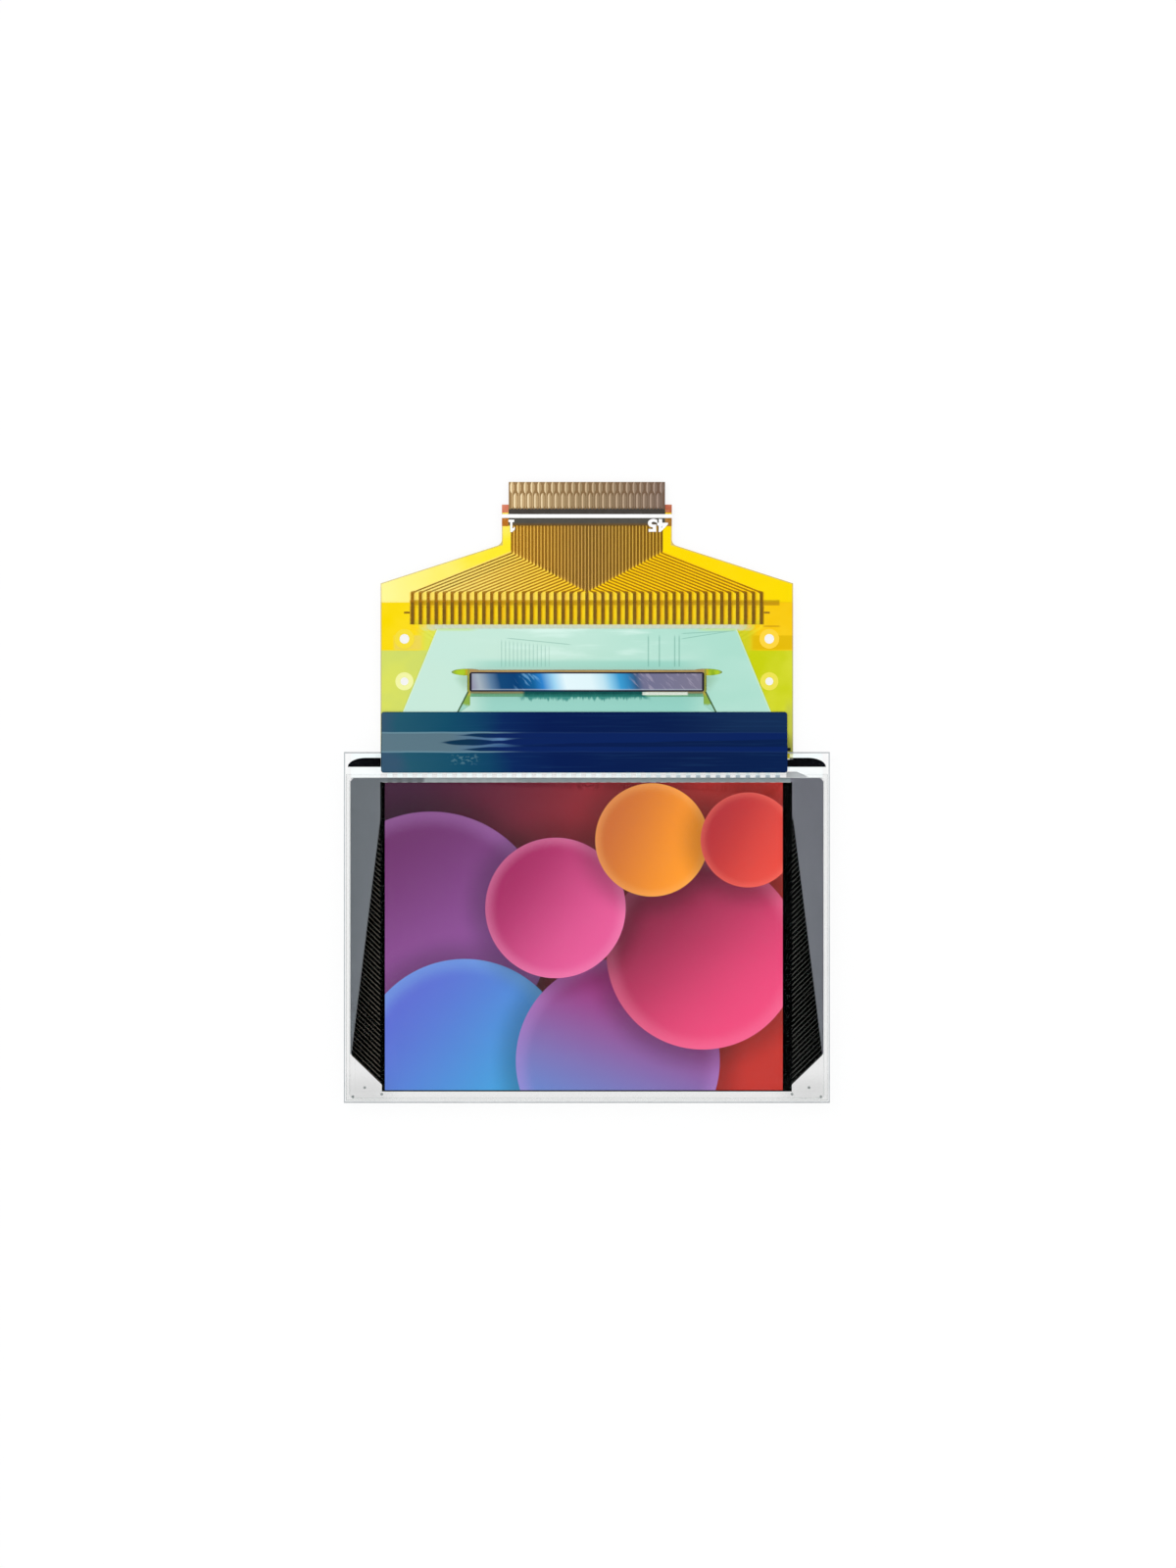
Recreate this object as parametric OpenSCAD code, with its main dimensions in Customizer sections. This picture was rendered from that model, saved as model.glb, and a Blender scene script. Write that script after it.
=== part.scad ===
// Small colour display cell with its driver chip on a film and a flexible tail with 45 contacts.
// It lies face up. +Y runs from the cell towards the contacts, and z = 0 is the back of the cap glass.
// The origin lies under the middle of the substrate glass.

/* [Glass] */
// Width of the substrate glass
glass_w = 42.8; // [38:0.1:60]
// Height of the substrate glass
glass_h = 30.9; // [27:0.1:40]
// Thickness of the substrate glass
glass_t = 0.7; // [0.3:0.05:1.1]
// Thickness of the cap glass
cap_t = 0.7; // [0.5:0.05:1.1]
// Depth of the ledge that the cap glass leaves bare for the film
ledge_l = 1.95; // [1.8:0.05:3]
// How far the cap glass stands in from the other three edges
cap_inset = 0.15; // [0:0.05:0.5]
// Depth of the hollow in the cap glass
hollow_depth = 0.3; // [0.25:0.05:0.4]
// Width of the rim around the hollow
hollow_rim = 0.8; // [0.6:0.05:1.5]
// Thickness of the drying sheet in the hollow
desiccant_t = 0.2; // [0.1:0.05:0.24]
// Room between the drying sheet and the hollow's walls
desiccant_gap = 2.5; // [0.5:0.1:5]
// Width of the glue line between the two glasses
seal_w = 0.4; // [0.3:0.05:0.6]
// How far the glue line stands in from the cap's edge
seal_inset = 0.05; // [0:0.01:0.2]

/* [Picture] */
// From the glass's left edge to the picture
left_margin = 3.58; // [3.4:0.01:5]
// From the picture to the glass's right edge
right_margin = 4.12; // [4:0.01:5]
// From the cap's upper edge down to the picture
top_margin = 0.72; // [0.6:0.01:2]
// From the picture down to the glass's lower edge
bottom_margin = 1.08; // [1:0.01:2]
// Black border left of the picture
border_left = 0.27; // [0.1:0.01:1]
// Black border right of the picture
border_right = 0.8; // [0.1:0.01:1]
// Black border under the picture
border_bottom = 0.12; // [0.05:0.01:0.2]

/* [Row lines] */
// Number of row lines on each side
row_count = 52; // [10:1:54]
// From the picture's upper edge down to the highest row line
row_first = 3.38; // [3:0.01:6]
// From the lowest row line down to the picture's lower edge
row_last = 0.58; // [0.5:0.01:2]
// Slope of the row lines across the fan
row_angle = 44; // [35:1:50]
// From the outermost row line to the glass's edge
bundle_margin = 0.63; // [0.61:0.01:0.7]
// Width of a row line at the border
row_line_w = 0.1; // [0.06:0.01:0.15]
// Width of a row line in the bundle
bundle_line_w = 0.032; // [0.02:0.001:0.036]
// Gap between the black border and the bundle
bundle_gap = 0.13; // [0.06:0.01:0.14]
// Width of a row line along the ledge
turn_line_w = 0.018; // [0.01:0.001:0.02]
// Length of a row line's end over the bond
row_end_l = 0.3; // [0.1:0.05:0.35]

/* [Column lines] */
// Number of column lines
column_count = 40; // [20:1:90]
// Width of a column line
column_line_w = 0.4; // [0.1:0.01:0.45]
// Width of a lead from the glass to the chip
output_lead_w = 0.2; // [0.1:0.01:0.22]

/* [Polarizer] */
// Clear edge of glass left and right of the polarizer
polarizer_side = 0.5; // [0.4:0.05:0.62]
// Gap from the cap's upper edge down to the polarizer's
polarizer_gap = 0.3; // [0.1:0.05:0.4]
// Clear edge of glass under the polarizer
polarizer_margin = 0.4; // [0.1:0.05:0.6]
// Thickness of the polarizer
polarizer_t = 0.2; // [0.1:0.05:0.3]
// Corner radius of the polarizer
polarizer_r = 0.3; // [0.1:0.05:1]

/* [Carrier film] */
// Ledge left bare on each side of the film
film_side = 3.2; // [3.1:0.05:4]
// Thickness of the carrier film
film_t = 0.06; // [0.04:0.005:0.1]
// Thickness of every copper, glue and line layer
copper_t = 0.02; // [0.01:0.005:0.03]
// How far the carrier film reaches beyond the glass
carrier_reach = 13.2; // [12.5:0.1:20]
// Length of the bond between film and glass
bond_l = 1.45; // [1:0.05:1.5]
// Clear edge of the ledge beyond the bond
bond_inset = 0.15; // [0.05:0.01:0.2]
// Width of the film bar beyond the solder slot
slot_bar_w = 0.33; // [0.2:0.01:0.5]
// Length of the solder slot along the leads
slot_l = 1.6; // [1:0.1:2]
// Room between the outermost lead and the slot's end
slot_side_gap = 0.1; // [0.1:0.05:0.5]
// From the film's side to the middle of a locating hole
hole_side = 2.1; // [1.2:0.05:2.2]
// Diameter of the two locating holes near the tail
upper_hole_d = 0.85; // [0.6:0.05:1.2]
// Diameter of the two locating holes near the chip
lower_hole_d = 0.7; // [0.6:0.05:1.2]
// Distance from the carrier film's far end to the nearer pair of holes
upper_hole_inset = 3.2; // [3:0.05:3.6]
// Distance between the two pairs of holes
hole_step = 3.75; // [2.5:0.05:5]
// Width of the ring around a hole
hole_ring_w = 0.45; // [0.2:0.05:0.5]
// Straight run of the leads beyond the glass's edge
output_run = 1; // [0.5:0.1:2]
// Straight run of the leads below the solder slot
slot_run = 0.25; // [0.1:0.05:0.4]
// Straight run of the leads beside the chip
chip_run = 0.5; // [0.2:0.1:0.8]

/* [Driver chip] */
// Length of the chip across the film
chip_w = 20.7; // [18:0.1:24]
// Width of the chip
chip_l = 1.72; // [1.2:0.01:2]
// Thickness of the chip
chip_t = 0.45; // [0.2:0.05:0.6]
// Distance from the glass's edge to the chip's middle
chip_reach = 6.2; // [5.8:0.1:6.6]
// Corner radius of the chip
chip_r = 0.22; // [0.05:0.01:0.4]
// Side of a contact bump under the chip
bump_w = 0.12; // [0.06:0.01:0.16]
// How far the underfill spreads round the chip
underfill_w = 0.14; // [0.1:0.01:0.3]
// How high the underfill climbs up the chip
underfill_h = 0.2; // [0.1:0.01:0.3]

/* [Solder resist] */
// Thickness of the resist
resist_t = 0.03; // [0.02:0.005:0.05]
// Film left bare on each side of the resist's narrow end
resist_far_side = 5; // [3.5:0.05:5.2]
// Film left bare on each side of the resist's wide end
resist_near_side = 0.55; // [0.2:0.05:2]
// Distance from the carrier film's far end to the resist
resist_inset = 2.3; // [2.2:0.01:3]
// Gap between the resist and the glass's edge
resist_gap = 0.15; // [0.05:0.05:0.5]
// Room beside and above the underfill in the resist's opening
opening_gap = 0.06; // [0.02:0.01:0.3]
// Room below the underfill in the resist's opening
opening_low_gap = 0.31; // [0.02:0.01:0.4]
// Length of the bare leaf beside each upper corner of the chip
leaf_l = 1.4; // [0.5:0.1:2.5]
// Width of that leaf
leaf_w = 0.6; // [0.3:0.1:1]
// How far the bare wedge under each lower corner of the chip reaches inward
wedge_w = 0.25; // [0.1:0.05:0.8]
// Length of those wedges
wedge_l = 2.4; // [1:0.1:3]
// Outward lean of those wedges
wedge_angle = 27; // [10:1:40]

/* [Cover tape] */
// Film left bare to the left of the cover tape
tape_left = 0.07; // [0:0.01:1]
// Film left bare to the right of the cover tape
tape_right = 0.53; // [0:0.01:1]
// Thickness of the cover tape
tape_t = 0.06; // [0.03:0.01:0.1]
// Length of tape stuck to the glass
tape_on_glass = 1.82; // [1:0.01:1.85]
// Length of tape that slopes from the glass down to the film
tape_slope_l = 1.75; // [1:0.05:2]
// Length of tape stuck to the film
tape_on_film = 1.8; // [1:0.05:2]
// Corner radius of the cover tape
tape_r = 0.25; // [0.1:0.05:0.5]

/* [Sealant] */
// Width of the sealant bead behind the ledge
sealant_w = 0.8; // [0.4:0.05:0.9]
// Height of the bead behind the film
sealant_h = 0.3; // [0.1:0.05:0.5]
// Gap between the cap glass and the bead
sealant_gap = 0.65; // [0.4:0.05:0.8]
// From the tip of each tapering end to the glass's edge
sealant_margin = 0.3; // [0.1:0.05:0.6]
// Length over which each end tapers to its tip
sealant_taper = 1.6; // [1:0.1:2.4]

/* [Tail] */
// How far the tail reaches under the carrier film
tail_overlap = 4.2; // [4.2:0.1:4.8]
// Thickness of the tail's base film
tail_t = 0.05; // [0.025:0.005:0.1]
// Thickness of the tail's cover film
coverlay_t = 0.03; // [0.015:0.005:0.05]
// Distance from the carrier film's end to the corners where the sides start to slope
side_l = 1.7; // [1:0.1:3]
// Rise of the sloping sides up to the neck
slope_rise = 3.45; // [2.5:0.05:5]
// Width of each shoulder beside the contact tongue
shoulder_w = 0.6; // [0.56:0.01:2]
// Length of the neck
neck_l = 3.5; // [2.5:0.1:20]
// Radius of the inner corners where the neck starts
neck_r = 0.6; // [0.2:0.1:1]
// From the middle of the outermost contact to the tongue's side
tongue_side = 0.3; // [0.25:0.01:0.6]
// Length of the contact tongue beyond the shoulders
tongue_l = 2; // [1:0.1:4]
// Width of a trace in the neck
trace_w = 0.2; // [0.08:0.01:0.22]
// Width of a trace in the fan
fan_trace_w = 0.12; // [0.08:0.01:0.18]
// Width of a pad or lead in the solder comb
comb_w = 0.27; // [0.15:0.01:0.4]
// From the film's side to the middle of the outermost pad in the solder comb
comb_side = 2.8; // [2.7:0.05:4]
// How far the solder comb reaches beyond the carrier film
comb_reach = 0.88; // [0.5:0.01:1.2]
// Length over which a trace changes its width
trace_taper_l = 0.35; // [0.1:0.05:0.5]
// Slope of the traces across the fan
trace_angle = 21.7; // [15:0.1:30]
// Length of the adhesive strip along the tail
adhesive_l = 1.4; // [0.5:0.1:1.6]
// Room between the adhesive strip and the film's sides
adhesive_inset = 1.2; // [0.2:0.1:1.4]

/* [Contacts] */
// Number of contacts
contact_count = 45; // [11:2:45]
// Distance from one contact to the next
contact_pitch = 0.3; // [0.25:0.01:0.3]
// Length of the contacts in the row at the tongue's end
far_row_l = 1; // [0.8:0.05:2]
// Length of the contacts in the other row
near_row_l = 1.4; // [0.8:0.05:2]
// Width of a contact at its widest
contact_w = 0.4; // [0.3:0.01:0.44]
// Width of the neck by which a contact passes the other row
contact_neck_w = 0.12; // [0.08:0.01:0.14]
// Length of the tip that narrows at each end of a contact
contact_tip_l = 0.3; // [0.1:0.05:0.5]
// Thickness of the stiffener behind the contacts
stiffener_t = 0.23; // [0.1:0.01:0.3]
// Length of the stiffener
stiffener_l = 4; // [3:0.1:5]
// Width of the copper pads at the shoulders
shoulder_pad_w = 0.58; // [0.3:0.01:0.6]
// Length of those pads
shoulder_pad_l = 0.72; // [0.3:0.01:0.8]
// Length of the dark band at the end of the cover film
band_l = 1.45; // [1:0.05:2]
// Width of the white insertion line
line_w = 0.33; // [0.2:0.01:0.4]
// Distance from the contacts to the insertion line
line_inset = 0.45; // [0.2:0.05:0.5]
// Thickness of printed ink
ink_t = 0.01; // [0.005:0.005:0.02]

/* [Marks] */
// Diameter of the small marks in the lower corners of the glass
mark_d = 0.25; // [0.15:0.01:0.3]
// Length of the ticks beside the solder comb
tick_l = 0.5; // [0.2:0.1:0.8]
// From the slot's far side to those ticks
tick_inset = 0.48; // [0.2:0.01:1]
// Width of those ticks
tick_w = 0.15; // [0.1:0.01:0.3]

/* [Hidden] */
$fn = 24;
over = 0.01;                                      // overshoot of a cutting tool

// Heights, from the back up
seal_t = 2 * copper_t;                            // the glue line holds two thin layers
glass_z = cap_t + seal_t;                         // back of the substrate glass
line_z = glass_z - copper_t;                      // lines on the back of the substrate glass
front_z = glass_z + glass_t;                      // front of the substrate glass
lead_z = line_z - 2 * copper_t;                   // leads on the front of the carrier film
resist_z = lead_z + copper_t;
carrier_z = lead_z - film_t;
trace_z = carrier_z - copper_t;                   // traces on the front of the tail
tail_z = trace_z - tail_t;
ink_z = carrier_z + coverlay_t;                   // front of the cover film
chip_z = resist_z + copper_t;

// Places along the cell, from the middle of the glass
glass_top = glass_h / 2;
cap_top = glass_top - ledge_l;
cap_w = glass_w - 2 * cap_inset;
cap_bottom = cap_inset - glass_top;
picture_left = left_margin - glass_w / 2;
picture_right = glass_w / 2 - right_margin;
picture_top = cap_top - top_margin;
picture_bottom = bottom_margin - glass_top;
picture_w = picture_right - picture_left;
picture_middle = [picture_left + picture_right, picture_bottom + picture_top] / 2;
border_x = [picture_left - border_left, picture_right + border_right];
row_start = picture_top - row_first;
row_pitch = (row_start - picture_bottom - row_last) / (row_count - 1);
polarizer_w = glass_w - 2 * polarizer_side;
polarizer_top = cap_top - polarizer_gap;
polarizer_bottom = polarizer_margin - glass_top;

// Places along the film and the tail
film_w = glass_w - 2 * film_side;
bond_top = glass_top - bond_inset;
bond_bottom = bond_top - bond_l;
turn_pitch = bond_l / (row_count + 1);
tape_x = [tape_left - film_w / 2, film_w / 2 - tape_right];
tape_edge = glass_top - tape_on_glass;
chip_y = glass_top + chip_reach;
carrier_top = glass_top + carrier_reach;
slot_top = carrier_top - slot_bar_w;
slot_bottom = slot_top - slot_l;
upper_hole_y = carrier_top - upper_hole_inset;
lower_hole_y = upper_hole_y - hole_step;
resist_top = carrier_top - resist_inset;
resist_bottom = glass_top + resist_gap;
tail_bottom = carrier_top - tail_overlap;
hole_spacing = film_w - 2 * hole_side;
comb_top = carrier_top + comb_reach;
slope_start = carrier_top + side_l;
neck_start = slope_start + slope_rise;
shoulder_y = neck_start + neck_l;
tail_top = shoulder_y + tongue_l;
contact_start = tail_top - far_row_l - near_row_l;

// Leads
comb_w_all = film_w - 2 * comb_side;
comb_pitch = comb_w_all / (contact_count - 1);
tongue_w = (contact_count - 1) * contact_pitch + 2 * tongue_side;
neck_w = tongue_w + 2 * shoulder_w;
column_pitch = picture_w / column_count;
chip_edge = chip_l / 2 - bump_w;                  // the bumps' rows, from the chip's middle
input_pitch = (chip_w - 4 * chip_r) / contact_count;
output_pitch = (chip_w - 4 * chip_r) / column_count;
middle = (contact_count - 1) / 2;
slot_x = (comb_w_all + comb_w) / 2 + slot_side_gap;

// Marks in the lower corners, from the nearest corner of the glass
marks = [[1.8, 1.3], [0.75, 0.5], [3.3, 0.72]];

// Discs shown on the screen, from the lowest up: place from the picture's middle, radius and colour
disc_names = ["violet", "blue", "magenta", "crimson", "pink", "orange", "red"];
discs = [
    [-13.5, 0.5, 10.5, "#7a3a80"],
    [-10.5, -11.5, 9.5, "#3a9ad0"],
    [3, -11, 9, "#c02a78"],
    [10.5, -1.5, 8.5, "#b01440"],
    [-2.5, 2.5, 6.2, "#d84a80"],
    [6, 8.5, 5, "#f08a28"],
    [14.5, 8.5, 4.2, "#d83828"],
];

// Helpers

// A flat layer of thickness t that starts at height z
module layer(z, t) translate([0, 0, z]) linear_extrude(t) children();

// A rectangle from one corner to the other
module box_between(low, high) translate(low) square(high - low);

// The same with round corners
module round_box(low, high, r) {
    box_between(low + [r, 0], high - [r, 0]);
    box_between(low + [0, r], high - [0, r]);
    for (x = [low.x + r, high.x - r], y = [low.y + r, high.y - r]) translate([x, y]) circle(r);
}

// An ellipse with a half-length on each axis
module oval(reach)
    polygon([for (i = [0 : $fn - 1]) [reach.x * cos(i * 360 / $fn), reach.y * sin(i * 360 / $fn)]]);

module both_sides() {
    children();
    mirror([1, 0, 0]) children();
}

// Points mirrored in the Y axis, in the opposite order, to close an outline
function mirrored(points) = [for (i = [len(points) - 1 : -1 : 0]) [-points[i].x, points[i].y]];

function unit(v) = v / norm(v);
function left_of(v) = [-v.y, v.x];

// Sideways step at point i of a path, which keeps a strip's width through the bend
function mitre(path, i) =
    let (last = len(path) - 1,
         j = max(i, 1),
         k = min(i, last - 1),
         before = left_of(unit(path[j] - path[j - 1])),
         after = left_of(unit(path[k + 1] - path[k])))
    (before + after) / (1 + before * after);

// A strip along a path, with a width at each of its points
module strip(path, widths) polygon([
    for (i = [0 : len(path) - 1]) path[i] + mitre(path, i) * widths[i] / 2,
    for (i = [len(path) - 1 : -1 : 0]) path[i] - mitre(path, i) * widths[i] / 2,
]);

// Cell

module cap_outline(inset) {
    box_between([inset - cap_w / 2, cap_bottom + inset], [cap_w / 2 - inset, cap_top - inset]);
}

module cap_glass() color("#dfe8e6", 0.5) difference() {
    layer(0, cap_t) cap_outline(0);
    layer(cap_t - hollow_depth, hollow_depth + over) cap_outline(hollow_rim);
}

module desiccant_sheet() color("#e8e6df")
    layer(cap_t - hollow_depth, desiccant_t) cap_outline(hollow_rim + desiccant_gap);

module seal_frame() color("#e6ecea", 0.8) layer(cap_t, copper_t) difference() {
    cap_outline(seal_inset);
    cap_outline(seal_inset + seal_w);
}

module substrate_glass() color("#e4eeec", 0.35)
    layer(glass_z, glass_t) square([glass_w, glass_h], center = true);

module polarizer() color("#c8cccd", 0.35) layer(front_z, polarizer_t)
    round_box([-polarizer_w / 2, polarizer_bottom], [polarizer_w / 2, polarizer_top], polarizer_r);

// Path of row line i on the right: across the fan, up in the bundle and in along the ledge
function row_path(i, border) =
    let (start = row_start - i * row_pitch,
         nearest = border + bundle_gap,
         x = nearest + (glass_w / 2 - bundle_margin - nearest) * i / (row_count - 1),
         rise = (x - border) * tan(row_angle),
         turn = bond_bottom + turn_pitch * (i + 1))
    [[border, start], [x, start + rise], [x, turn], [film_w / 2 - row_end_l, turn]];

module row_lines(border) color("#6e7276") layer(line_z, copper_t)
    for (i = [0 : row_count - 1])
        strip(row_path(i, border), [row_line_w, bundle_line_w, turn_line_w, turn_line_w]);

module row_lines_left() mirror([1, 0, 0]) row_lines(-border_x[0]);
module row_lines_right() row_lines(border_x[1]);

// Right edge of the black layer, from the top down, round the fan of row lines
function mask_edge(border) =
    let (first = row_path(0, border),
         last = row_path(row_count - 1, border),
         margin = [0, row_line_w])
    [[border, picture_top], first[0] + margin, first[1] + margin, last[1] + margin, last[1] - margin,
     last[0] - margin, [border, picture_bottom - border_bottom]];

module black_mask() color("#0a0a0c") layer(cap_t, copper_t)
    polygon(concat(mask_edge(border_x[1]), mirrored(mask_edge(-border_x[0]))));

module picture_area() box_between([picture_left, picture_bottom], [picture_right, picture_top]);

module disc(k) translate(picture_middle + [discs[k][0], discs[k][1]]) circle(discs[k][2], $fn = 2 * $fn);

module picture_ground() color("#5a1230") layer(line_z, copper_t) difference() {
    picture_area();
    for (k = [0 : len(discs) - 1]) disc(k);
}

// The part of disc k that no later disc covers
module picture_disc(k) color(discs[k][3]) layer(line_z, copper_t) difference() {
    intersection() {
        picture_area();
        disc(k);
    }
    if (k < len(discs) - 1) for (m = [k + 1 : len(discs) - 1]) disc(m);
}

module column_lines() color("#a9b2b2") layer(line_z, copper_t)
    for (i = [0 : column_count - 1])
        translate([picture_left + (i + 0.5) * column_pitch, 0])
            box_between([-column_line_w / 2, picture_top], [column_line_w / 2, bond_top]);

module corner_marks() color("#303638") layer(line_z, copper_t) both_sides() {
    for (place = marks) translate([glass_w / 2 - place.x, place.y - glass_top])
        circle(mark_d / 2, $fn = 8);
}

// Bond to the glass

module bond_strip() color("#9aa39c") layer(line_z - copper_t, copper_t)
    box_between([-film_w / 2, bond_bottom], [film_w / 2, bond_top]);

// One end beside the film: straight at first, then half an oval that tapers to its tip
module sealant_end() translate([film_w / 2, cap_top + sealant_gap]) {
    end_l = film_side - sealant_margin;
    intersection() {
        union() {
            square([end_l - sealant_taper, sealant_w]);
            translate([end_l - sealant_taper, 0]) oval([sealant_taper, sealant_w]);
        }
        square([end_l, sealant_w]);
    }
}

module sealant_bead() color("#06080c") {
    layer(carrier_z - sealant_h, sealant_h) {
        translate([-film_w / 2, cap_top + sealant_gap]) square([film_w, sealant_w]);
        both_sides() sealant_end();
    }
    layer(carrier_z - over, line_z - carrier_z + over) both_sides() sealant_end();
}

// Side view of the tape: flat on the glass, down the slope and flat on the resist
module tape_profile() {
    low = resist_z + resist_t;
    foot = glass_top + tape_slope_l;
    strip([[tape_edge, front_z + tape_t / 2],
           [glass_top + tape_t, front_z + tape_t / 2],
           [foot, low + tape_t / 2],
           [foot + tape_on_film, low + tape_t / 2]], [tape_t, tape_t, tape_t, tape_t]);
}

module cover_tape() color("#0d2a58") intersection() {
    translate([tape_x[0], 0, 0]) rotate([90, 0, 90])
        linear_extrude(tape_x[1] - tape_x[0]) tape_profile();
    layer(0, front_z + tape_t + over) round_box(
        [tape_x[0], tape_edge],
        [tape_x[1], glass_top + tape_slope_l + tape_on_film],
        tape_r);
}

// Carrier film and chip

module hole_row(y, d) for (side = [-1, 1]) translate([side * hole_spacing / 2, y]) circle(d / 2);

module carrier_film() color("#e6e040", 0.8) layer(carrier_z, film_t) difference() {
    box_between([-film_w / 2, bond_bottom], [film_w / 2, carrier_top]);
    box_between([-slot_x, slot_bottom], [slot_x, slot_top]);
    hole_row(upper_hole_y, upper_hole_d);
    hole_row(lower_hole_y, lower_hole_d);
}

module hole_rings() color("#f4ee78") layer(lead_z, copper_t) difference() {
    union() {
        hole_row(upper_hole_y, upper_hole_d + 2 * hole_ring_w);
        hole_row(lower_hole_y, lower_hole_d + 2 * hole_ring_w);
    }
    hole_row(upper_hole_y, upper_hole_d);
    hole_row(lower_hole_y, lower_hole_d);
}

// Leads from the glass to the chip's near side
module output_leads() color("#b98a3a") layer(lead_z, copper_t)
    for (i = [0 : column_count - 1]) {
        outer = picture_left + (i + 0.5) * column_pitch;
        inner = (i - (column_count - 1) / 2) * output_pitch;
        strip([[outer, bond_bottom], [outer, glass_top + output_run],
               [inner, chip_y - chip_l / 2 - chip_run], [inner, chip_y - chip_edge + bump_w / 2]],
              [output_lead_w, output_lead_w, bump_w, bump_w]);
    }

// Leads from the solder slot to the chip's far side
module input_leads() color("#8a5a18") layer(lead_z, copper_t)
    for (i = [-middle : middle])
        strip([[i * comb_pitch, carrier_top], [i * comb_pitch, slot_bottom - slot_run],
               [i * input_pitch, chip_y + chip_l / 2 + chip_run],
               [i * input_pitch, chip_y + chip_edge - bump_w / 2]],
              [comb_w, comb_w, bump_w, bump_w]);

module comb_ticks() color("#7a5a20") layer(lead_z, copper_t) both_sides()
    translate([slot_x, slot_top - tick_inset - tick_w]) square([tick_l, tick_w]);

// The chip's opening, with a leaf beside each upper corner and a wedge under each lower one
module resist_bare_spots() {
    room = underfill_w + opening_gap;
    corner = [chip_w / 2 + room, chip_l / 2 + room];
    wedge_tip = wedge_l * [sin(wedge_angle), -cos(wedge_angle)];
    translate([0, chip_y]) {
        round_box([-corner.x, -chip_l / 2 - underfill_w - opening_low_gap], corner, chip_r);
        both_sides() {
            translate([corner.x, chip_l / 2]) oval([leaf_l, leaf_w / 2]);
            translate([corner.x, -chip_l / 2])
                polygon([[0, 0], wedge_tip, [-wedge_w, -wedge_l / 2], [-wedge_w, 0]]);
        }
    }
}

module solder_resist() color("#bfe6d8") layer(resist_z, resist_t) difference() {
    right = [[film_w / 2 - resist_near_side, resist_bottom], [film_w / 2 - resist_far_side, resist_top]];
    polygon(concat(right, mirrored(right)));
    resist_bare_spots();
}

module chip_outline() translate([0, chip_y]) round_box(-[chip_w, chip_l] / 2, [chip_w, chip_l] / 2, chip_r);

module driver_chip() color("#30407a") layer(chip_z, chip_t) chip_outline();

module bump_row(count, pitch, y) for (i = [0 : count - 1])
    translate([(i - (count - 1) / 2) * pitch, y]) square(bump_w, center = true);

module chip_bumps() color("#d8b45a") layer(resist_z, copper_t) {
    bump_row(contact_count, input_pitch, chip_y + chip_edge);
    bump_row(column_count, output_pitch, chip_y - chip_edge);
}

// Slope round the chip's foot: a profile along each side and turned round each corner
module skirt() {
    profile = [[0, 0], [underfill_w, 0], [0, copper_t + underfill_h]];
    straight = [chip_w, chip_l] / 2 - [chip_r, chip_r];
    for (turn = [0, 180]) rotate(turn) {
        translate([-straight.x, chip_l / 2, 0])
            rotate([90, 0, 90]) linear_extrude(2 * straight.x) polygon(profile);
        translate([chip_w / 2, straight.y, 0])
            rotate([90, 0, 0]) linear_extrude(2 * straight.y) polygon(profile);
    }
    for (corner = [0 : 3]) {
        side = [corner % 3 == 0 ? 1 : -1, corner < 2 ? 1 : -1];
        translate([side.x * straight.x, side.y * straight.y, 0]) rotate(90 * corner)
            rotate_extrude(angle = 90) polygon([for (p = profile) p + [chip_r, 0]]);
    }
}

// The resin leaves a channel for each row of bumps
module underfill() color("#2a4a48") {
    translate([0, chip_y, resist_z]) skirt();
    layer(resist_z, copper_t) difference() {
        chip_outline();
        for (side = [-1, 1]) translate([0, chip_y + side * chip_edge])
            square([chip_w - 2 * chip_r, bump_w], center = true);
    }
}

// Tail

module solder_joints() color("#b8a888") layer(carrier_z, film_t)
    for (i = [-middle : middle]) translate([i * comb_pitch - comb_w / 2, slot_bottom + comb_w / 2])
        square([comb_w, slot_l - comb_w]);

module tail_adhesive() color("#e8b840") layer(trace_z, copper_t) difference() {
    box_between([-film_w / 2 + adhesive_inset, tail_bottom],
                [film_w / 2 - adhesive_inset, tail_bottom + adhesive_l]);
    hole_row(upper_hole_y, upper_hole_d);
}

// Outline of the tail: a chord crosses each inner corner at the neck, and a circle hollows it out
module tail_outline() {
    slope = atan2(slope_rise, (film_w - neck_w) / 2);
    reach = neck_r * tan((90 - slope) / 2);       // from the corner to each end of the arc
    right = [[film_w / 2, tail_bottom], [film_w / 2, slope_start],
             [neck_w / 2 + reach * cos(slope), neck_start - reach * sin(slope)],
             [neck_w / 2, neck_start + reach], [neck_w / 2, shoulder_y],
             [tongue_w / 2, shoulder_y], [tongue_w / 2, tail_top]];
    difference() {
        polygon(concat(right, mirrored(right)));
        both_sides() translate([neck_w / 2 + neck_r, neck_start + reach]) circle(neck_r);
        hole_row(upper_hole_y, upper_hole_d);
    }
}

module tail_film() color("#ffe21a", 0.8) layer(tail_z, tail_t) tail_outline();

// Trace i on the right, which bends at full width above its pad and narrows across the fan
module bent_trace(i) {
    shift = i * (comb_pitch - contact_pitch);
    lean = min(shift / 2, trace_taper_l * cos(trace_angle));
    fan_end = comb_top + shift * tan(trace_angle);
    strip([[i * comb_pitch, slot_bottom], [i * comb_pitch, comb_top],
           [i * comb_pitch - lean, comb_top + lean * tan(trace_angle)],
           [i * contact_pitch, fan_end], [i * contact_pitch, fan_end + trace_taper_l],
           [i * contact_pitch, contact_start]],
          [comb_w, comb_w, fan_trace_w, fan_trace_w, trace_w, trace_w]);
}

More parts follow.
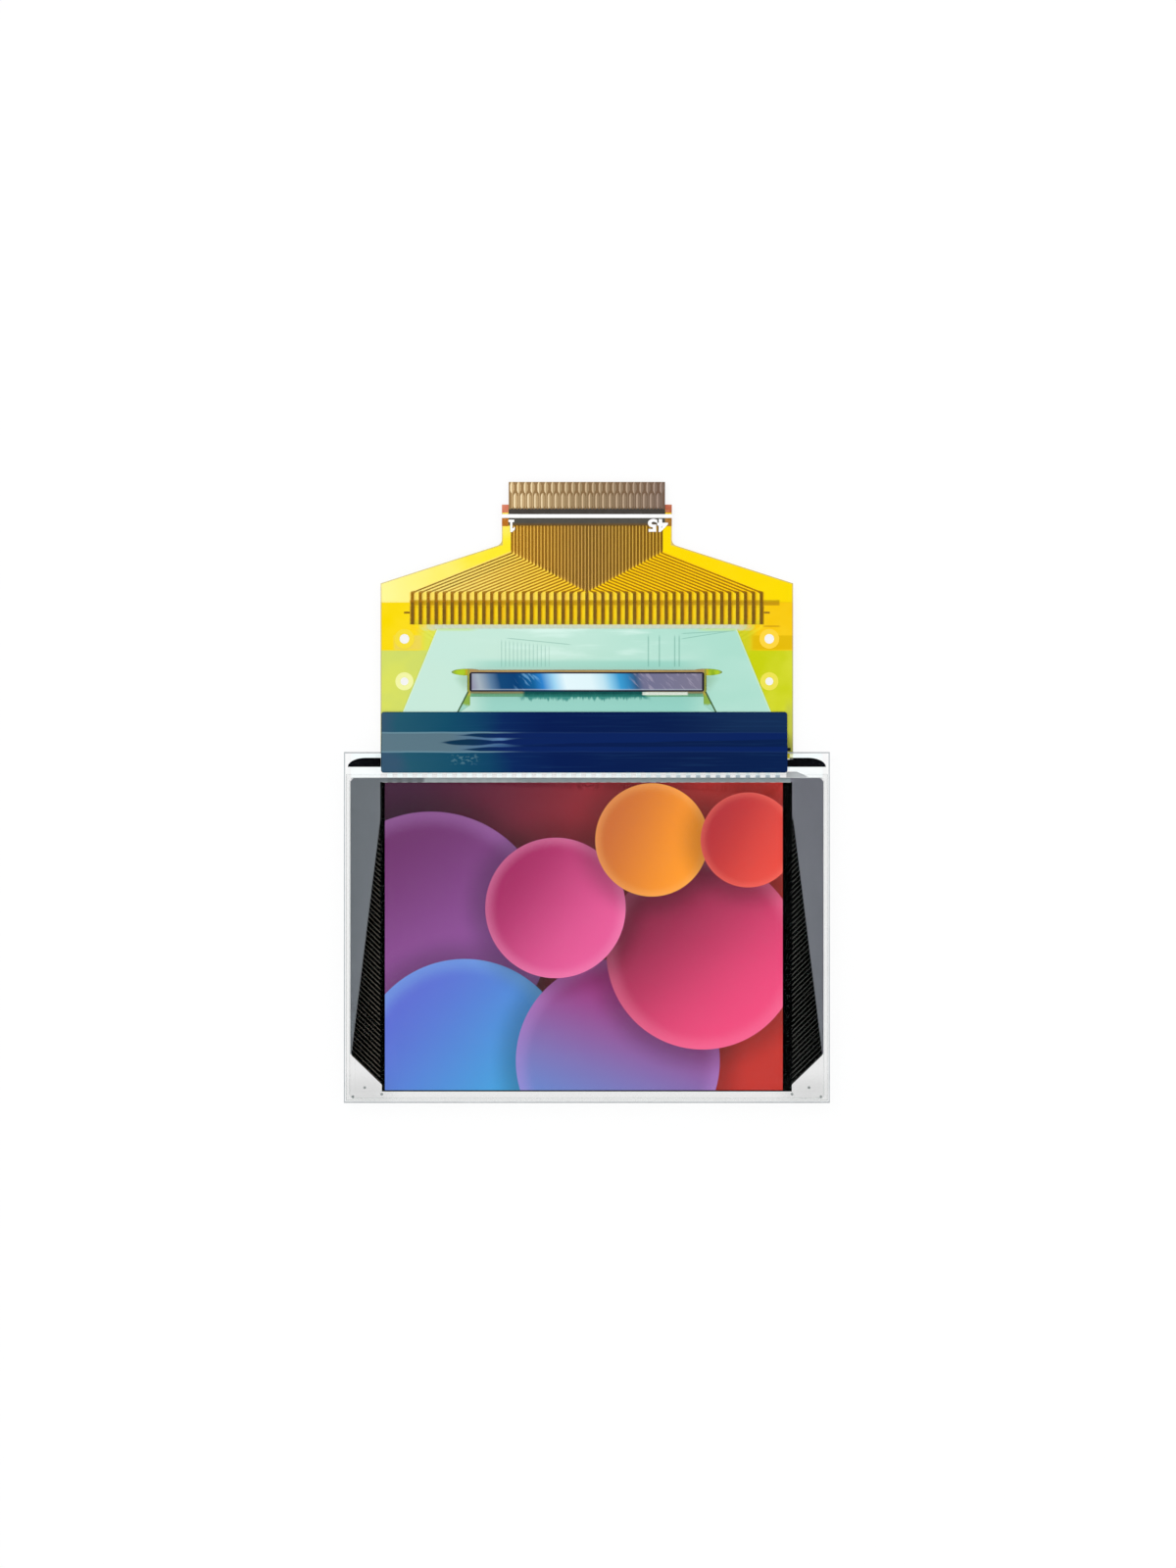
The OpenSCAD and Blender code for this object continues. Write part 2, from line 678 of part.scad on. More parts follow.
// Traces from the solder comb through the fan and up the neck, with a straight one in the middle
module tail_traces() color("#8a6a10") layer(trace_z, copper_t) {
    strip([[0, slot_bottom], [0, comb_top], [0, comb_top + trace_taper_l], [0, contact_start]],
          [comb_w, comb_w, trace_w, trace_w]);
    both_sides() for (i = [1 : middle]) bent_trace(i);
}

module tail_coverlay() color("#ffe84a", 0.5) layer(carrier_z, coverlay_t) intersection() {
    tail_outline();
    box_between([-film_w / 2, carrier_top + copper_t], [film_w / 2, contact_start]);
}

// One contact: a pad with narrowing ends in its own row, and for the far row a neck through the near row
module contact_finger(far_row) {
    row_l = far_row ? far_row_l : near_row_l;
    low = far_row ? near_row_l : 0;
    neck = [contact_neck_w / 2, contact_w / 2];
    if (far_row) translate([-neck[0], 0]) square([contact_neck_w, near_row_l + over]);
    polygon([[-neck[0], low], [neck[0], low],
             [neck[1], low + contact_tip_l], [neck[1], low + row_l - contact_tip_l],
             [neck[0], low + row_l], [-neck[0], low + row_l],
             [-neck[1], low + row_l - contact_tip_l], [-neck[1], low + contact_tip_l]]);
}

module contact_fingers() color("#c8a878") layer(trace_z, copper_t)
    for (i = [-middle : middle])
        translate([i * contact_pitch, contact_start]) contact_finger((i + middle) % 2 == 0);

// A pad at each shoulder, and one on the near side of the insertion line
module shoulder_pads() color("#d08058") layer(trace_z, copper_t) both_sides()
    for (top = [shoulder_y, contact_start - line_inset - line_w])
        translate([neck_w / 2 - shoulder_pad_w, top - shoulder_pad_l])
            square([shoulder_pad_w, shoulder_pad_l]);

module contact_stiffener() color("#a8741c") layer(tail_z - stiffener_t, stiffener_t) intersection() {
    tail_outline();
    box_between([-neck_w / 2, tail_top - stiffener_l], [neck_w / 2, tail_top]);
}

module line_area() translate([0, contact_start - line_inset])
    box_between([-neck_w / 2, -line_w], [neck_w / 2, 0]);

module marking_band() color("#4a4438") layer(ink_z, ink_t) difference() {
    box_between([-tongue_w / 2, contact_start - band_l], [tongue_w / 2, contact_start]);
    line_area();
}

module insertion_line() color("#ffffff") layer(ink_z, ink_t) line_area();

cap_glass();
desiccant_sheet();
seal_frame();
substrate_glass();
polarizer();
black_mask();
picture_ground();
for (k = [0 : len(discs) - 1])
    picture_disc(k);
row_lines_left();
row_lines_right();
column_lines();
corner_marks();
bond_strip();
sealant_bead();
cover_tape();
carrier_film();
hole_rings();
output_leads();
input_leads();
comb_ticks();
solder_resist();
driver_chip();
chip_bumps();
underfill();
solder_joints();
tail_adhesive();
tail_film();
tail_traces();
tail_coverlay();
contact_fingers();
shoulder_pads();
contact_stiffener();
marking_band();
insertion_line();
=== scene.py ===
import math

import bpy
import numpy as np
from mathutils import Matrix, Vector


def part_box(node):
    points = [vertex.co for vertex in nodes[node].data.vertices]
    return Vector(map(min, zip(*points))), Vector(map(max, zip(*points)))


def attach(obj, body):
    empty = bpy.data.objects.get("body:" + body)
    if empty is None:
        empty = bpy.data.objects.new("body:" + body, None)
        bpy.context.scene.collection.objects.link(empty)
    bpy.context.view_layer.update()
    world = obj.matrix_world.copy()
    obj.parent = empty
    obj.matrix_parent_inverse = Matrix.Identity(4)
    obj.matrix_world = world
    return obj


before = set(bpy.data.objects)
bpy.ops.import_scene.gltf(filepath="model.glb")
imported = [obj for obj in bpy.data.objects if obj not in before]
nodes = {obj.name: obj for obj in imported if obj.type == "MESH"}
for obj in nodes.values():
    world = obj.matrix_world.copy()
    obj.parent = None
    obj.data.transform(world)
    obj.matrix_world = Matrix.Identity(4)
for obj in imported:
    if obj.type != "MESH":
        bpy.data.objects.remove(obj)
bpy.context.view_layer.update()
mm = 0.001


# Low and high corners of a node's box, in millimetres as all the finishes are
def lowOf(node):
    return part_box(node)[0] * 1000


def highOf(node):
    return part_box(node)[1] * 1000


# Shader helpers: a wire is a socket that can be added, multiplied and so on

class Wire:
    def __init__(self, paint, socket):
        self.paint = paint
        self.socket = socket

    def math(self, operation, a, b=0.0, clamp=False):
        return self.paint.out(self.paint.node("Math", {0: a, 1: b}, operation=operation, use_clamp=clamp))

    def __add__(self, other):
        return self.math("ADD", self, other)

    def __radd__(self, other):
        return self.math("ADD", other, self)

    def __sub__(self, other):
        return self.math("SUBTRACT", self, other)

    def __rsub__(self, other):
        return self.math("SUBTRACT", other, self)

    def __mul__(self, other):
        return self.math("MULTIPLY", self, other)

    def __rmul__(self, other):
        return self.math("MULTIPLY", other, self)

    def __truediv__(self, other):
        return self.math("DIVIDE", self, other)

    def __abs__(self):
        return self.math("ABSOLUTE", self)

    def least(self, other):
        return self.math("MINIMUM", self, other)

    def most(self, other):
        return self.math("MAXIMUM", self, other)

    # what is left after the whole number, for patterns that repeat
    def part(self):
        return self.math("FRACT", self)

    def root(self):
        return self.math("SQRT", self)

    # held between 0 and 1
    def clip(self):
        return self.math("ADD", self, 0.0, clamp=True)

    # 0 below low, 1 above high, smooth between; low may be the larger
    def rise(self, low, high):
        if low > high:
            return 1 - self.rise(high, low)
        sockets = {"Value": self, "From Min": low, "From Max": high}
        return self.paint.out(self.paint.node("MapRange", sockets, interpolation_type="SMOOTHSTEP"))

    # 1 past a place and 0 before it, over a soft step of that half width
    def past(self, place, half):
        return self.rise(place - half, place + half)

    def before(self, place, half):
        return self.rise(place + half, place - half)

    # 1 between low and high
    def band(self, low, high, half):
        return self.past(low, half) * self.before(high, half)


# "#rrggbb" as linear colour
def tint(text):
    parts = [int(text[i:i + 2], 16) / 255 for i in (1, 3, 5)]
    return tuple(v / 12.92 if v <= 0.04045 else ((v + 0.055) / 1.055) ** 2.4 for v in parts) + (1.0,)


class Paint:
    def __init__(self, name, world=None):
        self.material = world or bpy.data.materials.new(name)
        self.material.use_nodes = True
        self.tree = self.material.node_tree
        self.tree.nodes.clear()

    # any node by its name after ShaderNode, with a wire, a "#rrggbb" colour or a value for each socket
    def node(self, kind, sockets, **settings):
        node = self.tree.nodes.new("ShaderNode" + kind)
        for key, value in settings.items():
            if key == "stops":
                ramp = node.color_ramp
                while len(ramp.elements) < len(value):
                    ramp.elements.new(0.5)
                for element, (place, colour) in zip(ramp.elements, value):
                    element.position = place
                    element.color = tint(colour)
            else:
                setattr(node, key, value)
        for key, value in sockets.items():
            if isinstance(value, Wire):
                self.tree.links.new(value.socket, node.inputs[key])
            else:
                node.inputs[key].default_value = tint(value) if isinstance(value, str) else value
        return node

    def out(self, node, name=0):
        return Wire(self, node.outputs[name])

    # x, y and z of the surface in millimetres
    def place(self):
        where = self.node("TexCoord", {})
        split = self.node("SeparateXYZ", {0: self.out(where, "Object")})
        return [self.out(split, k) * 1000 for k in range(3)]

    # cloudy value round 0.5, with about as many clouds per mm as scale
    def noise(self, scale, x, y, z=0.0, detail=2.0):
        point = self.out(self.node("CombineXYZ", {0: x, 1: y, 2: z}))
        return self.out(self.node("TexNoise", {"Vector": point, "Scale": scale, "Detail": detail}))

    # a where the factor is 0, b where it is 1
    def blend(self, factor, a, b):
        return self.out(self.node("Mix", {0: factor, 6: a, 7: b}, data_type="RGBA"), 2)

    # a up to low and b from high on
    def fade(self, way, low, high, a, b):
        return self.blend(way.rise(low, high), a, b)

    # a at the part's left and b at its right, changing about its middle
    def sides(self, x, a, b):
        return self.fade(x, -5, 5, a, b)

    def ramp(self, value, stops):
        return self.out(self.node("ValToRGB", {0: value}, stops=stops))

    def bump(self, height, strength, depth):
        return self.out(self.node("Bump", {"Height": height, "Strength": strength, "Distance": depth}))

    # shader a at factor 0 and b at factor 1 as the surface
    def surface(self, factor, a, b):
        mixed = self.node("MixShader", {0: factor, 1: self.out(a), 2: self.out(b)})
        self.node("OutputMaterial", {0: self.out(mixed)})
        return self.material

    # a Principled surface
    def finish(self, colour, **sockets):
        names = {"rough": "Roughness", "metal": "Metallic", "alpha": "Alpha", "normal": "Normal",
                 "shine": "Specular IOR Level", "glow": "Emission Color", "glowLevel": "Emission Strength"}
        filled = {names[key]: value for key, value in sockets.items()}
        shader = self.node("BsdfPrincipled", {"Base Color": colour, **filled})
        self.node("OutputMaterial", {0: self.out(shader)})
        return self.material


# A finish of two near colours in soft spots
def plainFinish(name, a, b, **sockets):
    paint = Paint(name)
    x, y, z = paint.place()
    spots = paint.noise(1.0, x, y, z, detail=3)
    return paint.finish(paint.fade(spots, 0.3, 0.7, a, b), **sockets)


def dress(material, *names):
    for name in names:
        mesh = nodes[name].data
        mesh.materials.clear()
        mesh.materials.append(material)


# Shape helpers

def makeMesh(name, points, faces, material, slot):
    mesh = bpy.data.meshes.new(name)
    mesh.from_pydata(points.tolist(), [], faces.tolist())
    mesh.materials.append(material)
    mesh.update()
    piece = bpy.data.objects.new(name, mesh)
    bpy.context.scene.collection.objects.link(piece)
    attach(piece, "root")


# A flat outline in millimetres, anticlockwise, as one face at a height
def makeFlat(name, outline, height, material, slot):
    outline = np.array(outline, float)
    points = np.column_stack([outline, np.full(len(outline), height)]) * mm
    makeMesh(name, points, np.array([range(len(outline))]), material, slot)


# A profile (side, height) carried along a closed path:
# point(i, j) = path[i] + outward[i] * side[j] + up * height[j], where outward is the mitre of the edges at i
def carry(path, profile):
    path = np.asarray(path, float)
    profile = np.asarray(profile, float)
    before = path - np.roll(path, 1, 0)
    after = np.roll(path, -1, 0) - path
    before /= np.linalg.norm(before, axis=1)[:, None]
    after /= np.linalg.norm(after, axis=1)[:, None]
    normalA = np.stack([before[:, 1], -before[:, 0]], 1)
    normalB = np.stack([after[:, 1], -after[:, 0]], 1)
    outward = (normalA + normalB) / (1 + (normalA * normalB).sum(1))[:, None]
    flat = path[:, None, :] + outward[:, None, :] * profile[None, :, :1]
    height = np.broadcast_to(profile[None, :, 1:], (len(path), len(profile), 1))
    points = np.concatenate([flat, height], 2).reshape(-1, 3)
    i, j = np.meshgrid(np.arange(len(path)), np.arange(len(profile)), indexing="ij")
    k, m = (i + 1) % len(path), (j + 1) % len(profile)
    n = len(profile)
    faces = np.stack([i * n + j, k * n + j, k * n + m, i * n + m], 2).reshape(-1, 4)
    return points, faces


# Camera, floor and light

# The camera looks straight down, and the frame shows its width at the height of "level"
view = {"distance": 450 * mm, "middle": (0.1 * mm, 12.64 * mm), "frameWidth": 103.7 * mm, "level": 1.0 * mm,
        "sensor": 36}
camera = bpy.data.objects.new("camera", bpy.data.cameras.new("camera"))
bpy.context.scene.collection.objects.link(camera)
camera.location = (*view["middle"], view["distance"])
camera.data.sensor_fit = "HORIZONTAL"
camera.data.sensor_width = view["sensor"]
camera.data.lens = view["sensor"] * (view["distance"] - view["level"]) / view["frameWidth"]
camera.data.clip_start = 0.01
camera.data.clip_end = 10
bpy.context.scene.camera = camera

# Floor and world look brighter than they light the part: floorLift and world set the two apart
room = {"floor": "#ffffff", "floorLift": 0.87, "floorHalf": 0.6, "floorDrop": 0.02 * mm,
        "world": 0.78, "worldTint": "#fdfeff", "aim": (0, 0.012, 0),
        "lamps": {"keyLight": {"at": (-0.25, 0.3, 0.5), "size": 0.4, "power": 1.1},
                  "fillLight": {"at": (0.3, -0.1, 0.55), "size": 0.5, "power": 0.5}}}


# 1 where the floor or the world is seen directly, in a mirror or through glass
def seenRay(paint):
    light = paint.node("LightPath", {})
    rays = [paint.out(light, "Is " + kind + " Ray") for kind in ("Camera", "Glossy", "Transmission")]
    return (rays[0] + rays[1] + rays[2]).clip()


def makeFloor():
    paint = Paint("floor")
    diffuse = paint.node("BsdfDiffuse", {"Color": room["floor"]})
    glow = paint.node("Emission", {"Color": "#ffffff", "Strength": 1.0})
    material = paint.surface(seenRay(paint) * room["floorLift"], diffuse, glow)
    half = room["floorHalf"]
    square = [(-half, -half, 0), (half, -half, 0), (half, half, 0), (-half, half, 0)]
    mesh = bpy.data.meshes.new("floor")
    mesh.from_pydata(square, [], [(0, 1, 2, 3)])
    mesh.materials.append(material)
    floor = bpy.data.objects.new("floor", mesh)
    bpy.context.scene.collection.objects.link(floor)
    floor.location.z = -room["floorDrop"]


def makeLight():
    world = bpy.data.worlds.new("room")
    bpy.context.scene.world = world
    paint = Paint("room", world)
    sky = paint.node("Background", {
        "Color": room["worldTint"], "Strength": seenRay(paint) * (1 - room["world"]) + room["world"]})
    paint.node("OutputWorld", {0: paint.out(sky)})
    for name, spec in room["lamps"].items():
        lamp = bpy.data.objects.new(name, bpy.data.lights.new(name, "AREA"))
        bpy.context.scene.collection.objects.link(lamp)
        lamp.data.size = spec["size"]
        lamp.data.energy = spec["power"]
        lamp.location = spec["at"]
        aim = np.array(room["aim"]) - np.array(spec["at"])
        lamp.rotation_euler = (math.atan2(math.hypot(aim[0], aim[1]), -aim[2]), 0,
                               math.atan2(aim[0], -aim[1]) + math.pi)


makeFloor()
makeLight()
scene = bpy.context.scene
scene.view_settings.view_transform = "Standard"
print("stage 1: camera, floor and light")


# Glass

glass = {
    # each clear sheet's tint, how much it hides of what is under it, and its roughness
    "sheets": {"substrate_glass": ("#1c2a26", 0.008, 0.05), "cap_glass": ("#1c2a26", 0.01, 0.05),
               "polarizer": ("#182420", 0.014, 0.12)},
    "deep": "#26302c", "cloud": 0.006, "index": 1.45,
    # what Fresnel gives face on, which the body's own gloss already shows
    "faceOn": 0.036,
    # extra cover in the lower corners, which grows outwards and downwards
    "haze": 0.03, "hazeSide": (16.0, 19.0), "hazeFoot": (-12.4, -14.4),
    "side": "#86a098", "sideCover": 0.45,
    "edge": ("#d2d6d8", "#b6babd"), "edgeWidth": 0.11 * mm, "edgeHeight": 0.02 * mm}


# Clear sheet: almost see-through face on, and a mirror at a low angle by the Fresnel share above face on.
# Only faces turned to the viewer mirror, because a ray isn't bent here and would meet the far face too flat
def clearFinish(node, colour, cover, rough):
    low, high = lowOf(node), highOf(node)
    paint = Paint(node + "Clear")
    x, y, z = paint.place()
    smear = paint.noise(0.25, x, y, z)
    haze = abs(x).rise(*glass["hazeSide"]) * y.rise(*glass["hazeFoot"])
    side = (x - low.x).least(high.x - x).least(y - low.y).least(high.y - y).before(0.02, 0.01)
    shade = paint.blend(side, paint.blend(smear, colour, glass["deep"]), glass["side"])
    cover = haze * glass["haze"] + smear * glass["cloud"] + side * glass["sideCover"] + cover
    body = paint.node("BsdfPrincipled", {
        "Base Color": shade, "Alpha": cover.clip(), "Roughness": rough, "Specular IOR Level": 0.5})
    mirror = paint.node("BsdfAnisotropic", {"Roughness": rough})
    near = 1 - paint.out(paint.node("NewGeometry", {}), "Backfacing")
    slant = paint.out(paint.node("Fresnel", {"IOR": glass["index"]})) - glass["faceOn"]
    return paint.surface(slant.clip() * near, body, mirror)


# Ground edge of a sheet of glass: a narrow rectangle carried round its outline
def groundEdge(name, node):
    low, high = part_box(node)
    path = [(low.x, low.y), (high.x, low.y), (high.x, high.y), (low.x, high.y)]
    top, bottom = high.z, high.z - glass["edgeHeight"]
    profile = [(0, top), (-glass["edgeWidth"], top), (-glass["edgeWidth"], bottom), (0, bottom)]
    paint = Paint(name + "Finish")
    x, y, z = paint.place()
    chips = paint.noise(2.5, x, y, z, detail=3)
    material = paint.finish(paint.blend(chips, *glass["edge"]), rough=0.45, shine=0.3)
    makeMesh(name, *carry(path, profile), material, "substrate_glass")


for node, spec in glass["sheets"].items():
    dress(clearFinish(node, *spec), node)
groundEdge("glassEdge", "substrate_glass")
print("stage 2: glass")


# Picture

# Places and radii are in mm from the picture's middle, turns in degrees. A fill's two colours change along
# its turn, and a rim lightens the outer part
picture = {
    "ground": {"at": (0, 0), "r": 19, "turn": -10, "fill": ("#3a1030", "#c03028")},
    "rimFrom": 0.82, "rim": 0.28, "shadeReach": (-0.2, 2.6), "shade": 0.42,
    "cell": 0.219, "cellShade": 0.3, "unlit": "#050506", "glow": 1.08}
discs = {
    "violet": {"at": (-13.5, 0.5), "r": 10.5, "turn": -60, "rim": "#b884c8", "fill": ("#6a2a66", "#9a5aa8")},
    "blue": {"at": (-10.5, -11.5), "r": 9.5, "turn": -40, "rim": "#8ccaf0", "fill": ("#5a6ad0", "#3aa8dc")},
    "magenta": {"at": (3, -11), "r": 9, "turn": -110, "rim": "#c890e0", "fill": ("#a01a70", "#5a8ad0")},
    "crimson": {"at": (10.5, -1.5), "r": 8.5, "turn": -50, "rim": "#ff8ab0", "fill": ("#7a1438", "#f0487c")},
    "pink": {"at": (-2.5, 2.5), "r": 6.2, "turn": -40, "rim": "#f89cc8", "fill": ("#a0205c", "#e85a98")},
    "orange": {"at": (6, 8.5), "r": 5, "turn": -20, "rim": "#ffc070", "fill": ("#c86a30", "#ff9a20")},
    "red": {"at": (14.5, 8.5), "r": 4.2, "turn": -30, "rim": "#ff8070", "fill": ("#b02830", "#e8483c")}}
pictureLow, pictureHigh = lowOf("picture_ground"), highOf("picture_ground")
black = "#000000"


# Root of the squares' sum
def distance(x, y, spot):
    across, along = x - spot[0], y - spot[1]
    return (across * across + along * along).root()


def pictureFinish(name, spec, later):
    paint = Paint("picture" + name.capitalize())
    x, y = paint.place()[:2]
    x = x - (pictureLow.x + pictureHigh.x) / 2
    y = y - (pictureLow.y + pictureHigh.y) / 2
    turn = math.radians(spec["turn"])
    way = (x - spec["at"][0]) * math.cos(turn) + (y - spec["at"][1]) * math.sin(turn)
    colour = paint.fade(way / (2 * spec["r"]) + 0.5, 0, 1, *spec["fill"])
    if "rim" in spec:
        out = distance(x, y, spec["at"]) / spec["r"]
        colour = paint.blend(out.rise(picture["rimFrom"], 1.0) * picture["rim"], colour, spec["rim"])
    # each later disc casts a soft shade on this one
    light = 1.0
    for other in later:
        gap = distance(x, y, other["at"]) - other["r"]
        light = light * (gap.rise(*picture["shadeReach"]) * picture["shade"] + (1 - picture["shade"]))
    colour = paint.blend(1 - light, colour, black)
    # rows and columns of picture cells
    cells = ((x / picture["cell"]).part() - 0.5) * ((y / picture["cell"]).part() - 0.5)
    colour = paint.blend(abs(cells) * picture["cellShade"], colour, black)
    return paint.finish(picture["unlit"], rough=0.3, glow=colour, glowLevel=picture["glow"], shine=0.2)


order = list(discs.values())
dress(pictureFinish("ground", picture["ground"], order), "picture_ground")
for k, (name, spec) in enumerate(discs.items()):
    dress(pictureFinish(name, spec, order[k + 1:]), "picture_" + name)
print("stage 3: picture")


# Lines on the glass

sheetHigh = highOf("polarizer")
lines = {
    "fan": ("#504a42", "#42413e"), "bundle": "#868b91", "bare": "#e4ecec", "sealed": "#020308",
    # a line is past the fan and in its bundle beyond this side, which leans out by that much per mm downwards
    "bundleSide": 18.1, "bundleTop": 9.4, "bundleLean": 0.125,
    # sides and top of the black border round the picture, each with its soft step
    "border": "#020203", "borderLeft": (-18.26, -18.2), "borderRight": (18.15, 18.09),
    "borderTop": (12.82, 12.78),
    # past the polarizer the glass is bare, and what lies in it gets a painted glow, which stands for the
    # bright ground seen through the glass
    "paintedGlow": "#f0fbfc", "paintedGlowLevel": 0.36,
    # middle and half axes of the oval that closes each end of the sealant
    "endMiddle": (19.5, 14.15), "endSize": (1.6, 0.8)}

# From left to right the columns have three greys, with a step between each two
columns = {"greys": ("#6e7377", "#b6c1c3", "#a4adaf"), "leftStep": (-14.5, -14.2), "rightStep": (-7.0, -5.5),
           "cloud": "#a2a8aa", "bare": ("#eef6f6", "#a6b4bc"), "bareTurn": (0, 12), "bareFoot": (13.6, 13.3)}


# 1 on the black border, out to its sides and up to the picture's top
def border(x, y):
    return x.rise(*lines["borderLeft"]) * x.rise(*lines["borderRight"]) * y.rise(*lines["borderTop"])


# 1 inside the ends of the sealant: straight at first, then a quarter of an oval
def sealantEnd(x, y):
    across = (abs(x) - lines["endMiddle"][0]).most(0.0) / lines["endSize"][0]
    up = (y - lines["endMiddle"][1]) / lines["endSize"][1]
    return (across * across + up * up).rise(1.04, 0.98) * up.rise(-0.04, 0.02)


def lineFinish():
    paint = Paint("lineMetal")
    x, y, z = paint.place()
    grain = paint.noise(3.0, x, y, z)
    outside = abs(x) - lines["bundleSide"] - (lines["bundleTop"] - y) * lines["bundleLean"]
    colour = paint.fade(outside, -0.1, 0.3, paint.sides(x, *lines["fan"]), lines["bundle"])
    colour = paint.fade(y, sheetHigh.y - 0.1, sheetHigh.y + 0.05, colour, lines["bare"])
    colour = paint.blend(border(x, y), colour, lines["border"])
    sealed = sealantEnd(x, y)
    colour = paint.blend(sealed, colour, lines["sealed"])
    # painted glow on the lines past the polarizer, but not on the sealant's ends
    glow = paint.blend(y.past(sheetHigh.y, 0.04) * (1 - sealed), black, lines["paintedGlow"])
    return paint.finish(colour, rough=0.4 + grain * 0.2, shine=0.05, glow=glow, glowLevel=lines["paintedGlowLevel"])


def columnFinish():
    paint = Paint("columnMetal")
    x, y, z = paint.place()
    cloud = paint.noise(0.4, x, y, z)
    left, middle, right = columns["greys"]
    colour = paint.fade(x, *columns["rightStep"], middle, right)
    colour = paint.fade(x, *columns["leftStep"], left, colour)
    colour = paint.blend(cloud * 0.4, colour, columns["cloud"])
    # past the polarizer the columns are pale, greyer towards the lower right, and take that colour as a
    # painted glow too
    past = y.past(sheetHigh.y, 0.04)
    bare = paint.blend(x.rise(*columns["bareTurn"]) * y.rise(*columns["bareFoot"]), *columns["bare"])
    colour, glow = paint.blend(past, colour, bare), paint.blend(past, black, bare)
    return paint.finish(colour, rough=0.4, shine=0.05, glow=glow, glowLevel=lines["paintedGlowLevel"])


# At the strip's right end the yellow film shows above and the sealant below; elsewhere the bare strip gets a
# painted glow
bond = {"bare": "#f0f5f3", "paintedGlowLevel": 0.3, "film": "#e4d428", "filmSide": 17.6, "filmFoot": 14.875,
        "sealSide": 17.45, "sealTop": 14.8}


def bondFinish():
    paint = Paint("bondFilm")
    x, y = paint.place()[:2]
    corner = x.past(bond["filmSide"], 0.05) * y.past(bond["filmFoot"], 0.075)
    sealed = x.past(bond["sealSide"], 0.05) * y.band(lowOf("sealant_bead").y, bond["sealTop"], 0.03)
    colour = paint.blend(corner, bond["bare"], bond["film"])
    colour = paint.blend(sealed, colour, lines["sealed"])
    # painted glow on the bare strip, standing for the bright ground seen through the glass
    glow = paint.blend(corner.most(sealed), lines["paintedGlow"], black)
    return paint.finish(colour, rough=0.4, shine=0.05, glow=glow, glowLevel=bond["paintedGlowLevel"])


dress(lineFinish(), "row_lines_left", "row_lines_right")
dress(columnFinish(), "column_lines")
dress(bondFinish(), "bond_strip")
dress(plainFinish("sealResin", "#aab4b0", "#c6ccc8", rough=0.5, alpha=0.01), "seal_frame")
dress(plainFinish("dryingSheet", "#f0efea", "#e8e6df", rough=0.8), "desiccant_sheet")
dress(plainFinish("blackMask", "#000000", "#020203", rough=0.6, shine=0.0), "black_mask")
dress(plainFinish("markMetal", "#8a9290", "#a2a8a6", rough=0.4), "corner_marks")

# "above" is the ground over the picture, from the columns' left step to its right end
ground = {
    "side": ("#7d868b", "#878491"), "cloud": "#8d9197",
    "above": ("#b4c1c3", "#9caaae"), "aboveEnd": (18.0, 17.9),
    "inner": 18.0, "low": -11.2, "cut": 0.3, "inset": (0.03, 0.02), "under": 0.004}


# Grey ground just inside the mask's front: a flat five-sided sheet at each side, from the border to the
# polarizer's side with a cut upper corner, and a flat strip above the picture
def makeGround():
    paint = Paint("bundleGround")
    x, y, z = paint.place()
    cloud = paint.noise(0.2, x, y, z)
    colour = paint.blend(cloud * 0.3, paint.sides(x, *ground["side"]), ground["cloud"])
    above = paint.fade(x, *columns["rightStep"], *ground["above"])
    colour = paint.blend(x.rise(*columns["leftStep"]) * x.rise(*ground["aboveEnd"]), colour, above)
    colour = paint.blend(border(x, y), colour, lines["border"])
    material = paint.finish(colour, rough=0.4, shine=0.1)
    height = highOf("black_mask").z - ground["under"]
    inner, low, cut = ground["inner"], ground["low"], ground["cut"]
    outer, high = sheetHigh.x - ground["inset"][0], sheetHigh.y - ground["inset"][1]
    right = [(inner, low), (outer, low), (outer, high - cut), (outer - cut, high), (inner, high)]
    left = [(-side, up) for side, up in reversed(right)]
    foot = pictureHigh.y + ground["inset"][1]
    top = [(-inner, foot), (inner, foot), (inner, high), (-inner, high)]
    makeFlat("bundleGroundLeft", left, height, material, "line_metal")
    makeFlat("bundleGroundRight", right, height, material, "line_metal")
    makeFlat("bundleGroundTop", top, height, material, "line_metal")


smear = {
    "light": "#b2b6b8", "dark": "#7c8286", "fade": (19.9, 18.9),
    "top": 13.74, "slopeFrom": 18.5, "slope": 0.42,
    "outline": [(17.6, 13.22), (19.9, 13.22), (19.9, 13.3), (18.6, 13.78), (17.6, 13.78)], "over": 0.003}


# Grey patch beside the tape's lower right corner: a flat wedge with a darker upper side
def makeSmear():
    paint = Paint("smear")
    x, y = paint.place()[:2]
    below = smear["top"] - (x - smear["slopeFrom"]).most(0.0) * smear["slope"] - y
    cloud = paint.noise(2.0, x, y)
    colour = paint.fade(below, 0.14, 0.04, smear["light"], smear["dark"])
    cover = below.rise(-0.02, 0.08) * x.rise(*smear["fade"]) * (0.75 + cloud * 0.3)
    material = paint.finish(colour, rough=0.5, shine=0.02, alpha=cover.clip())
    makeFlat("smear", smear["outline"], highOf("row_lines_right").z + smear["over"], material, "sealant")


makeGround()
makeSmear()
print("stage 4: lines")


# What shows round the chip

